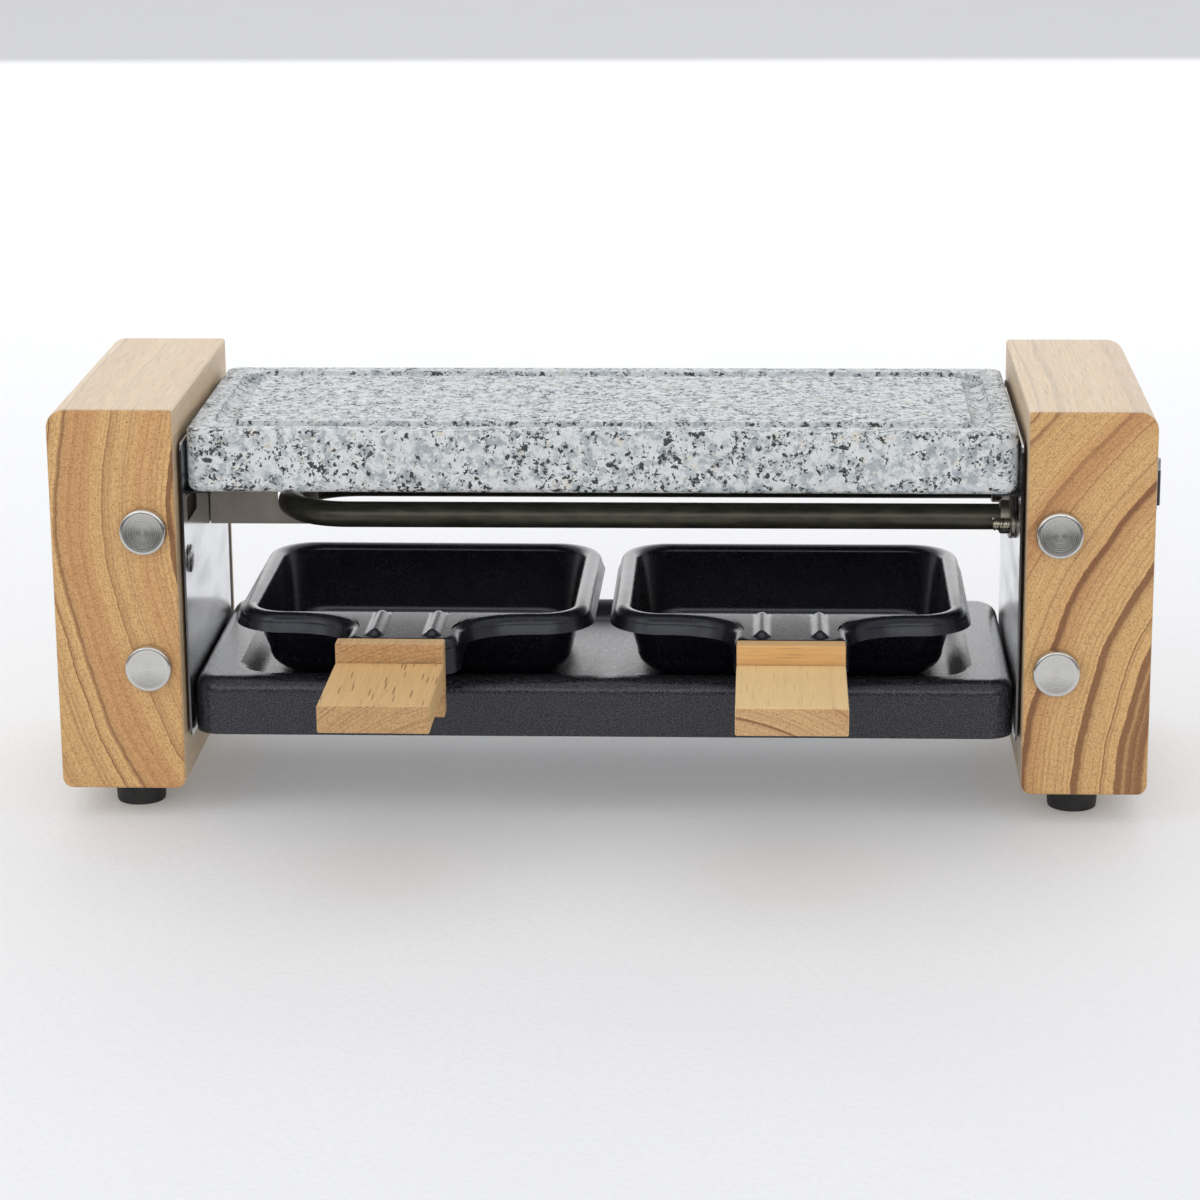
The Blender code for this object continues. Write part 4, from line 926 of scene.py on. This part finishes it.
def block_mesh(word):
    """A solid block with eased arrises, open for the switch and the cord on the right."""
    low, high = box_of(word + "_end_block")
    stations = [(inset, low.y + back) for inset, back in easing(block_arris_radius)]
    stations += [(inset, high.y - back) for inset, back in reversed(easing(block_arris_radius))]
    rings = [[(across, along, up) for across, up in block_outline(low, high, word, inset)]
             for inset, along in stations]
    mesh = lofted("block", rings)
    if word == "left":
        return mesh
    body_low, body_high = box_of("switch_body")
    inlet = middle_of("cord_inlet")
    inlet_low, inlet_high = box_of("cord_inlet")
    inlet_radius = (inlet_high.x - inlet_low.x) / 2 - inlet_lip
    edge = bezel_lip
    opening = [[(across, along, up) for along, up in
                rounded_outline((body_low.y + edge, body_low.z + edge),
                                (body_high.y - edge, body_high.z - edge), (bezel_corner_radius,) * 4)]
               for across in (body_low.x, high.x + overrun)]
    bore = bar("bore", (inlet.x, inlet_low.y, inlet.z), (inlet.x, high.y + overrun, inlet.z),
               inlet_radius)
    return reshape(mesh, [lofted("opening", opening), bore], "DIFFERENCE")


def build_blocks():
    """Both end blocks in their own timber."""
    for word, grain in block_grain.items():
        low, high = box_of(word + "_end_block")
        pith = (low.x + grain["pith"][0], 0, low.z + grain["pith"][1])
        wood = wood_finish(word + "_block_beech", pith, grain["ring_width"], seed=grain["seed"])
        add_piece(word + "_end_block_wood", block_mesh(word), wood, "stand", [word + "_end_block"])


def stone_mesh():
    """The granite plate with its groove."""
    low, high = box_of("granite_plate")
    rings = [level_ring(low, high, inset, stone_corner_radius, low.z + rise)
             for inset, rise in easing(stone_bottom_radius)]
    rings += [level_ring(low, high, inset, stone_corner_radius, high.z - drop)
              for drop, inset in easing(stone_top_arris)]
    for index in range(groove_steps + 1):
        angle = math.pi * index / groove_steps
        inset = groove_inset - groove_width / 2 * math.cos(angle)
        rings.append(level_ring(low, high, inset, groove_corner_radius + groove_inset,
                                high.z - groove_depth * math.sin(angle)))
    return lofted("stone", rings)


def tray_mesh():
    """The stamped tray: a skirt all round, a flat border and one sunken bed for the pans."""
    low, high = box_of("base_tray")
    bed_low = (low.x + recess_end_border, low.y + recess_front_border)
    bed_high = (high.x - recess_end_border, high.y - recess_back_border)
    floor = high.z - recess_depth

    def sheet_side(thickness):
        """One face of the sheet, from the middle of the bed out to the skirt's lower edge."""
        rings = []
        for index in range(2 * tray_bend_steps + 1):
            share = index / (2 * tray_bend_steps)
            inset = recess_run * (1 - share) - recess_lip
            rise = recess_depth * share ** 2 * (3 - 2 * share)
            rings.append(level_ring(bed_low, bed_high, inset, recess_corner_radius,
                                    floor - thickness + rise))
        for draw, fall in easing(tray_edge_radius - thickness, tray_bend_steps):
            rings.append(level_ring(low, high, thickness + draw, tray_corner_radius,
                                    high.z - thickness - fall))
        rings.append(level_ring(low, high, thickness, tray_corner_radius, low.z))
        return rings

    return lofted("tray", sheet_side(0) + list(reversed(sheet_side(tray_sheet))))


def pan_front_stations():
    """Where the rim's front edge leaves the rectangle: sweep, tongue side, end and back again.

    Each station is (x, y beyond the rim, outward x, outward y, share of the full flange drop).
    """
    stations = []
    for angle in quarter(tongue_sweep_steps):
        across = tongue_half_width + tongue_sweep_width * (1 - math.sin(angle))
        beyond = tongue_sweep_depth * (1 - math.cos(angle))
        stations.append((across, beyond, math.sin(angle), math.cos(angle), 0.0))
    straight = tongue_length - tongue_end_radius
    for index in range(1, tongue_side_steps + 1):
        share = index / tongue_side_steps
        beyond = tongue_sweep_depth + (straight - tongue_sweep_depth) * share
        stations.append((tongue_half_width, beyond, 1.0, 0.0, share))
    for angle in quarter(tongue_end_steps)[1:]:
        stations.append((tongue_half_width - tongue_end_radius * (1 - math.cos(angle)),
                         straight + tongue_end_radius * math.sin(angle),
                         math.cos(angle), math.sin(angle), 1.0))
    left = [(-across, beyond, -out_x, out_y, share) for across, beyond, out_x, out_y, share in stations]
    return left + list(reversed(stations))


def pan_rim_ring(inset, height, drop=0.0, flare=0.0):
    """The rim's outline with its tongue, drawn in by inset.

    Drop deepens it along the tongue, and flare spreads it all round but at the tongue's end.
    """
    half_x = pan_half_width - inset + flare
    half_y = pan_half_depth - inset + flare
    radius = pan_corner_radius - inset + flare
    points = level_ring((-half_x, -half_y), (half_x, half_y), 0, radius, height, pan_corner_steps)
    for across, beyond, out_x, out_y, share in pan_front_stations():
        draw = inset - flare * (1 - share)
        points.append((across - out_x * draw, -pan_half_depth - beyond + out_y * draw,
                       height - drop * share))
    return points


def pan_bowl_ring(inset, front_inset, height, radius):
    """A level of the bowl, with points along its front edge to match the tongue's."""
    half_x = pan_half_width - inset
    front_y = -pan_half_depth + front_inset
    points = level_ring((-half_x, front_y), (half_x, -front_y), 0, radius, height, pan_corner_steps)
    count = len(pan_front_stations())
    limit = min(tongue_half_width + tongue_sweep_width, (half_x - radius) * pan_front_share)
    for index in range(count):
        points.append((-limit + 2 * limit * index / (count - 1), front_y, height))
    return points


def pan_sheet_side(thickness):
    """One face of the pan's sheet, from the bowl's floor out to the skirt's lower edge."""
    rings = []
    top = pan_height - thickness
    floor = pan_sheet - thickness
    floor_bend = pan_floor_bend - pan_sheet + thickness
    mouth = pan_mouth_bend - thickness / 2
    corner = pan_corner_radius - pan_rim_width + thickness
    side_low = pan_rim_width + pan_wall_run - thickness
    front_low = pan_rim_width + pan_front_wall_run - thickness
    for draw, lift in easing(floor_bend, pan_bend_steps):
        rings.append(pan_bowl_ring(side_low + draw, front_low + draw, floor + lift, corner))
    side_high = pan_rim_width - thickness
    for angle in reversed(quarter(pan_bend_steps)):
        draw = mouth * math.sin(angle)
        fall = mouth * (1 - math.cos(angle))
        rings.append(pan_bowl_ring(side_high + draw, side_high + draw, top - fall, corner))
    for draw, fall in easing(pan_rim_bend - thickness, pan_bend_steps):
        rings.append(pan_rim_ring(thickness + draw, top - fall))
    rings.append(pan_rim_ring(thickness, pan_height - pan_skirt_drop,
                              tongue_flange_drop - pan_skirt_drop, pan_skirt_flare))
    return rings


def pan_mesh():
    """The pressed dish with its rolled rim and tongue."""
    return lofted("pan", pan_sheet_side(0) + list(reversed(pan_sheet_side(pan_sheet))))


def rib_mesh(across):
    """A pressed rib that rises out of the tongue, runs along it and sinks before the handle."""
    first = -(pan_half_depth - pan_rim_width)
    last = -(pan_half_depth + tongue_length - pan_rim_bend - rib_end_inset)
    rings = []
    for station in range(rib_stations + 1):
        share = station / rib_stations
        rise = min(1.0, share / rib_rise_share, (1 - share) / rib_fall_share)
        swell = math.sin(math.pi / 2 * rise) ** 2
        along = first + (last - first) * share
        ring = []
        for index in range(rib_arc_steps + 1):
            reach = -1 + 2 * index / rib_arc_steps
            bell = math.cos(math.pi / 2 * reach) ** 2
            ring.append((across + rib_half_width * reach, along, pan_height + rib_height * swell * bell))
        ring.append((across + rib_half_width, along, pan_height - rib_sink))
        ring.append((across - rib_half_width, along, pan_height - rib_sink))
        rings.append(ring)
    return lofted("rib", rings)


def slab(name, low, high):
    """A box with all its edges eased."""
    rounds = easing(handle_arris, handle_arris_steps)
    levels = [(inset, low[2] + rise) for inset, rise in rounds]
    levels += [(inset, high[2] - rise) for inset, rise in reversed(rounds)]
    return lofted(name, [level_ring(low, high, inset, handle_arris, height, handle_arris_steps,
                                    handle_arris / 4) for inset, height in levels])


def build_handle(word, seat):
    """A pan's upright board and the flat grip in front of it."""
    near = handle_shifts[word] - board_width / 2
    far = handle_shifts[word] + board_width / 2
    top = pan_height + board_rise
    board_back = pan_half_depth + tongue_length + gap
    board = slab("board", (near, -board_back - board_thickness, top - board_height),
                 (far, -board_back, top))
    grip_back = board_back + board_thickness + gap
    grip = slab("grip", (near, -grip_back - grip_length, top - grip_drop - grip_height),
                (far, -grip_back, top - grip_drop))
    for part, mesh, piths, looks in (("board", board, board_piths, board_looks),
                                     ("grip", grip, grip_piths, grip_looks)):
        mesh.transform(seat)
        pith = seat.translation + Vector(piths[word])
        wood = wood_finish(f"{word}_{part}_beech", pith, waver=handle_waver, **looks[word])
        add_piece(f"{word}_handle_{part}_wood", mesh, wood, word + "_pan", [f"{word}_handle_{part}"])


def build_pans(coating):
    """Both pans with their ribs and handles, set out evenly from the middle of the stand."""
    middle_x = (box_of("left_end_block")[0] + box_of("right_end_block")[1]).x / 2
    low, high = box_of("right_pan_dish")
    seat_x = (low.x + high.x) / 2 - middle_x
    seat_y = high.y - pan_half_depth - pan_skirt_flare
    for side, word in ((-1, "left"), (1, "right")):
        seat = Matrix.Translation((middle_x + side * seat_x, seat_y, low.z))
        seat = seat @ Matrix.Rotation(pan_turns[word], 4, "Z")
        body = word + "_pan"
        dish = pan_mesh()
        dish.transform(seat)
        add_piece(word + "_pan_pressing", dish, coating, body, [word + "_pan_dish"])
        for hand, across in (("left", -rib_offset), ("right", rib_offset)):
            rib = rib_mesh(across)
            rib.transform(seat)
            add_piece(f"{word}_pan_{hand}_rib", rib, coating, body)
        build_handle(word, seat)


def points_at(name, places):
    """Bare points at (place, direction) pairs, each with the turn that faces its direction."""
    points = bpy.data.meshes.new(name)
    points.from_pydata([place for place, direction in places], [], [])
    turns = points.attributes.new("turn", "FLOAT_VECTOR", "POINT")
    for item, (place, direction) in zip(turns.data, places):
        item.vector = facing(direction).to_euler()
    return points


def set_out(name, places, template, material):
    """Copies of a template at (place, direction) pairs, each vertex knowing its copy's place."""
    recipe = Recipe(name + "_set_out", Template="Object", Finish="Material")
    place = recipe.made("GeometryNodeInputPosition", {})
    kept = recipe.made("GeometryNodeStoreNamedAttribute",
                       {"Geometry": recipe.given["Start"], "Name": "cap_middle", "Value": place},
                       data_type="FLOAT_VECTOR", domain="POINT")
    shape = recipe.made("GeometryNodeObjectInfo", {"Object": recipe.given["Template"]}, "Geometry")
    recipe.finish(recipe.repeat(kept, shape), recipe.given["Finish"])
    model = placed("template", template)
    mesh = recipe.grow(name, points_at(name, places), Template=model, Finish=material)
    bpy.data.objects.remove(model)
    return mesh


def add_set(name, places, template, finish, nodes):
    """Copies of a template as one piece that stands for all its nodes."""
    mesh = set_out(name, places, template, finish)
    add_piece(name, mesh, finish, "stand", nodes, flat_faces=False)


def cap_template(low, high):
    """A turned cap with a chamfered rim and a shallow dish, its seat at the origin."""
    radius = (high.x - low.x) / 2
    height = cap_standing
    chamfer = cap_chamfer
    profile = [(0, height - cap_dish)]
    for index in range(1, cap_face_rings):
        share = index / cap_face_rings
        profile.append(((radius - chamfer) * share, height - cap_dish * (1 - share ** 2)))
    profile += [(radius - chamfer, height), (radius - chamfer / 4, height - chamfer / 2),
                (radius, height - chamfer), (radius, 0), (0, 0)]
    return turned("cap", profile)


def build_caps():
    """Eight turned caps on the blocks' front and back faces."""
    nodes = [f"{side}_{end}_{level}_bolt" for side in ("left", "right")
             for level in ("lower", "upper") for end in ("front", "back")]
    places = []
    for node in nodes:
        low, high = box_of(node)
        middle = middle_of(node)
        direction = -1 if "front" in node else 1
        base = low.y + cap_standing if direction < 0 else high.y - cap_standing
        places.append(((middle.x, base, middle.z), (0, direction, 0)))
    template = cap_template(*box_of("left_front_upper_bolt"))
    add_set("cap_bolts", places, template, turned_steel_finish(), nodes)


def build_feet():
    """Four rubber feet, slightly tapered and hollow for their screws."""
    nodes = at_corners("foot")
    low, high = box_of(nodes[0])
    outer = (high.x - low.x) / 2
    foot = outer - foot_taper
    hollow = foot_recess_radius
    small = foot_edge / 4
    profile = [(foot - foot_edge, 0), (foot - small, small), (foot, foot_edge),
               (outer, high.z - foot_edge / 2), (outer - small, high.z), (hollow / 2, high.z),
               (hollow / 2, foot_recess_depth), (hollow, foot_recess_depth), (hollow, small),
               (hollow + small, 0)]
    places = [((middle_of(node).x, middle_of(node).y, 0), (0, 0, 1)) for node in nodes]
    add_set("rubber_feet", places, turned("foot", profile, hollow=True),
            moulded_finish("foot_rubber", foot_colour, 0.6), nodes)


def screw_template(radius, height, shank_radius, length):
    """A domed screw with a cross recess, its seat at the origin and its head towards +Z."""
    profile = [(0, height)]
    for angle in quarter(arris_steps)[1:]:
        profile.append((radius * math.sin(angle), height * math.cos(angle)))
    profile += [(shank_radius, 0), (shank_radius, -length), (0, -length)]
    mesh = turned("screw", profile, turned_sides // 2)
    half = radius * cross_half_length_share
    thin = radius * cross_half_width_share
    floor = height * (1 - cross_depth_share)
    blades = []
    for half_x, half_y in ((half, thin), (thin, half)):
        rings = [[(across * half_x * narrow, along * half_y * narrow, level)
                  for across, along in ((-1, -1), (1, -1), (1, 1), (-1, 1))]
                 for level, narrow in ((floor, cross_floor_share), (height + overrun, 1.0))]
        blades.append(lofted("blade", rings))
    return reshape(mesh, blades, "DIFFERENCE")


def build_screws(steel):
    """The screws at the tray's ends, in the notched strip, in the left plate and under the feet."""
    nodes = at_corners("tray_screw") + ["element_support_screw"]
    places = []
    for node in nodes:
        low, high = box_of(node)
        middle = middle_of(node)
        direction = -1 if node.startswith("right") else 1
        seat = high.x - screw_head_height if direction > 0 else low.x + screw_head_height
        places.append(((seat, middle.y, middle.z), (direction, 0, 0)))
    low, high = box_of("element_support_screw")
    template = screw_template((high.y - low.y) / 2, screw_head_height, stud_radius,
                              high.x - low.x - 2 * screw_head_height)
    add_set("side_screws", places, template, steel, nodes)

    low, high = box_of("left_plate_screw")
    middle = middle_of("left_plate_screw")
    flat = screw_template((high.y - low.y) / 2, plate_screw_head_height, stud_radius,
                          high.x - low.x - 2 * plate_screw_head_height)
    seat = (high.x - plate_screw_head_height, middle.y, middle.z)
    flat.transform(Matrix.Translation(seat) @ facing((1, 0, 0)))
    add_piece("flat_plate_screw", flat, steel, "stand", ["left_plate_screw"],
              flat_faces=False)

    nodes = at_corners("foot_screw")
    low, high = box_of(nodes[0])
    template = screw_template((high.y - low.y) / 2, screw_head_height, stud_radius,
                              high.z - low.z - 2 * screw_head_height)
    seat_z = low.z + screw_head_height
    places = [((middle_of(node).x, middle_of(node).y, seat_z), (0, 0, -1)) for node in nodes]
    add_set("foot_screws", places, template, steel, nodes)


def element_path():
    """The heater's centre line: one leg, the bend and the other leg."""
    low, high = box_of("heating_element")
    half = element_leg_spacing / 2
    middle_y = (low.y + high.y) / 2
    height = (low.z + high.z) / 2
    bend_x = low.x + element_radius + half
    points = [(high.x, middle_y - half, height)]
    for index in range(element_bend_steps + 1):
        angle = -math.pi / 2 - math.pi * index / element_bend_steps
        points.append((bend_x + half * math.cos(angle), middle_y + half * math.sin(angle), height))
    points.append((high.x, middle_y + half, height))
    return points


def build_element():
    """The heater's tube, swept along its path."""
    recipe = Recipe("tube_sweep", Radius="Float", Sides="Int", Finish="Material")
    path = recipe.made("GeometryNodeMeshToCurve", {"Mesh": recipe.given["Start"]})
    section = recipe.made("GeometryNodeCurvePrimitiveCircle",
                          {"Resolution": recipe.given["Sides"], "Radius": recipe.given["Radius"]})
    recipe.finish(recipe.swept(path, section), recipe.given["Finish"])
    points = element_path()
    line = bpy.data.meshes.new("path")
    line.from_pydata(points, [(index, index + 1) for index in range(len(points) - 1)], [])
    finish = tube_finish()
    mesh = recipe.grow("tube", line, Radius=element_radius, Sides=element_sides, Finish=finish)
    add_piece("element_tube", mesh, finish, "stand", ["heating_element"],
              flat_faces=False)


def flange_outline():
    """Two round bosses for the legs and two smaller ears for the studs, drawn round tightly."""
    leg_y = element_leg_spacing / 2
    ear_y = flange_ear_spacing / 2
    lean = math.asin((flange_leg_radius - flange_ear_radius) / (ear_y - leg_y))
    half = []
    for step in range(corner_steps):
        angle = lean * step / corner_steps
        half.append((leg_y + flange_leg_radius * math.sin(angle), -flange_leg_radius * math.cos(angle)))
    meeting = math.pi / 2 - lean
    for centre, radius, first, last in ((ear_y, flange_ear_radius, -meeting, meeting),
                                        (leg_y, flange_leg_radius, meeting, math.pi / 2)):
        for step in range(corner_steps + 1):
            angle = first + (last - first) * step / corner_steps
            half.append((centre + radius * math.cos(angle), radius * math.sin(angle)))
    return half + [(-along, -up) for along, up in half]


def build_flange(strip):
    """The flange plate and a collar round each leg."""
    low, high = box_of("element_flange")
    middle = (low + high) / 2
    face = high.x - flange_thickness
    reach = flange_ear_spacing / 2 + flange_ear_radius
    rings = []
    for inset, across in ((flange_bevel, face), (0, face + flange_bevel), (0, high.x)):
        wide = 1 - inset / reach
        tall = 1 - inset / flange_leg_radius
        rings.append([(across, middle.y + along * wide, middle.z + up * tall)
                      for along, up in flange_outline()])
    plate = lofted("flange", rings)
    bore = element_radius + gap / 2
    small = collar_edge / 3
    profile = [(bore, 0), (collar_radius, 0), (collar_radius, collar_length - collar_edge),
               (collar_radius - small, collar_length - small),
               (collar_radius - collar_edge, collar_length), (bore, collar_length)]
    places = [((face, middle.y + end * element_leg_spacing / 2, middle.z), (-1, 0, 0))
              for end in (-1, 1)]
    collars = set_out("collars", places, turned("collar", profile, hollow=True), strip)
    bm = bmesh.new()
    bm.from_mesh(plate)
    bm.from_mesh(collars)
    merged = bpy.data.meshes.new("flange")
    bm.to_mesh(merged)
    bm.free()
    add_piece("element_flange_plate", smoothed(merged), strip, "stand", ["element_flange"])


def build_flange_screws(metal):
    """The two screws that hold the flange, with a helical thread where they stand out of it."""
    recipe = Recipe("thread", Core="Float", Length="Float", Reach="Float", Pitch="Float", Depth="Float",
                    HeadRadius="Float", HeadHeight="Float", Finish="Material")
    given = recipe.given

    def lifted(geometry, height):
        """A part of the screw moved up its axis."""
        up = recipe.made("ShaderNodeCombineXYZ", {"Z": height})
        return recipe.made("GeometryNodeTransform", {"Geometry": geometry, "Translation": up})

    def number(operation, first, second):
        """Arithmetic on the screw's sizes."""
        return recipe.made("ShaderNodeMath", {0: first, 1: second}, operation=operation)

    ridge = recipe.made("GeometryNodeCurveSpiral",
                        {"Resolution": thread_turn_steps,
                         "Rotations": number("DIVIDE", given["Reach"], given["Pitch"]),
                         "Start Radius": given["Core"], "End Radius": given["Core"],
                         "Height": given["Reach"]})
    crest = recipe.made("GeometryNodeCurvePrimitiveCircle",
                        {"Resolution": thread_crest_sides, "Radius": given["Depth"]})
    core = recipe.made("GeometryNodeMeshCylinder",
                       {"Vertices": stud_sides, "Radius": given["Core"], "Depth": given["Length"]})
    head = recipe.made("GeometryNodeMeshCylinder",
                       {"Vertices": stud_sides, "Radius": given["HeadRadius"],
                        "Depth": given["HeadHeight"]})
    whole = recipe.add("GeometryNodeJoinGeometry", {})
    for part in (lifted(recipe.swept(ridge, crest), number("SUBTRACT", given["Length"], given["Reach"])),
                 lifted(core, number("MULTIPLY", given["Length"], 0.5)),
                 lifted(head, number("MULTIPLY", given["HeadHeight"], -0.5))):
        recipe.tree.links.new(part, whole.inputs[0])
    recipe.finish(recipe.repeat(given["Start"], whole.outputs["Geometry"]), given["Finish"])

    nodes = ["front_flange_screw", "back_flange_screw"]
    low, high = box_of(nodes[0])
    seat_x = high.x - stud_head_height
    points = points_at("flange_screws", [((seat_x, middle_of(node).y, middle_of(node).z), (-1, 0, 0))
                                         for node in nodes])
    mesh = recipe.grow("flange_screws", points, Core=stud_radius - thread_depth, Length=seat_x - low.x,
                       Reach=stud_reach, Pitch=thread_pitch, Depth=thread_depth,
                       HeadRadius=stud_head_radius, HeadHeight=stud_head_height, Finish=metal)
    add_piece("flange_screws", mesh, metal, "stand", nodes, flat_faces=False)


def build_switch(plastic):
    """The switch's bezel body and its rocker, both with eased edges."""
    for node, name, body in (("switch_body", "switch_bezel", "stand"),
                             ("switch_rocker", "switch_paddle", "rocker")):
        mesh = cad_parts[node].data.copy()
        bm = bmesh.new()
        bm.from_mesh(mesh)
        bmesh.ops.remove_doubles(bm, verts=bm.verts, dist=switch_merge_distance)
        bmesh.ops.dissolve_limit(bm, angle_limit=flat_angle, verts=bm.verts, edges=bm.edges)
        sharp = [edge for edge in bm.edges if edge.calc_face_angle(0) > sharp_angle]
        bmesh.ops.bevel(bm, geom=sharp, offset=switch_bevel, segments=switch_bevel_steps, profile=0.5,
                        affect="EDGES", clamp_overlap=True)
        bm.to_mesh(mesh)
        bm.free()
        add_piece(name, smoothed(mesh), plastic, body, [node])


def build_inlet(rubber):
    """The moulded bush where the cord goes in, with a rounded flange and a hollow barrel."""
    low, high = box_of("cord_inlet")
    middle = (low + high) / 2
    outer = (high.x - low.x) / 2
    bore = inlet_bore_radius
    height = inlet_flange_height
    barrel = outer - inlet_lip
    depth = high.y - low.y - height
    edge = inlet_edge
    profile = [(bore, -depth), (barrel, -depth), (barrel, 0), (outer, 0), (outer, height - edge)]
    profile += [(outer - draw, height - fall) for fall, draw in easing(edge)[1:]]
    profile += [(bore + edge / 3, height), (bore, height - edge / 3)]
    mesh = turned("inlet", profile, hollow=True)
    mesh.transform(Matrix.Translation((middle.x, high.y - height, middle.z)) @ facing((0, 1, 0)))
    add_piece("cord_inlet_bush", mesh, rubber, "stand", ["cord_inlet"])


def build_grill():
    """Every piece and finish of the grill."""
    steel = screw_steel_finish()
    strip = sheet_steel_finish("strip_plate", strip_colour, 0.42, 0.50, depth=0.01)
    brass = sheet_steel_finish("pin_brass", brass_colour, 0.25, 0.4)
    plastic = moulded_finish("switch_plastic", plastic_colour, 0.42)

    build_blocks()
    add_piece("granite_stone", stone_mesh(), granite_finish(), "stone", ["granite_plate"])
    add_piece("enamelled_tray", tray_mesh(), enamel_finish(), "stand", ["base_tray"])
    build_pans(coating_finish())
    build_caps()
    build_feet()
    build_screws(steel)
    build_element()
    build_flange(strip)
    build_flange_screws(brass)
    build_switch(plastic)
    build_inlet(moulded_finish("bush_rubber", bush_colour, 0.55))

    # The bright plates get painted shade on their edge faces.
    plate = sheet_steel_finish("bright_plate", plate_colour, 0.14, 0.26, edge=0.85)
    coat(plate, *sided("side_plate"))
    coat(board_finish(), *sided("heat_shield"))
    coat(strip, "element_support")
    coat(steel, "thermal_fuse", *sided("pan_left_screw"), *sided("pan_right_screw"))
    coat(sleeve_finish(), "live_lead", "switch_lead", "fuse_lead", "neutral_lead")
    coat(brass, "front_terminal_pin", "back_terminal_pin")
    coat(moulded_finish("bush_ceramic", ceramic_colour, 0.5), "front_terminal_bush",
         "back_terminal_bush")
    coat(plastic, "terminal_block")


build_camera()
build_floor()
build_flag()
build_room()
for name, settings in lights.items():
    build_light(name, **settings)
build_grill()
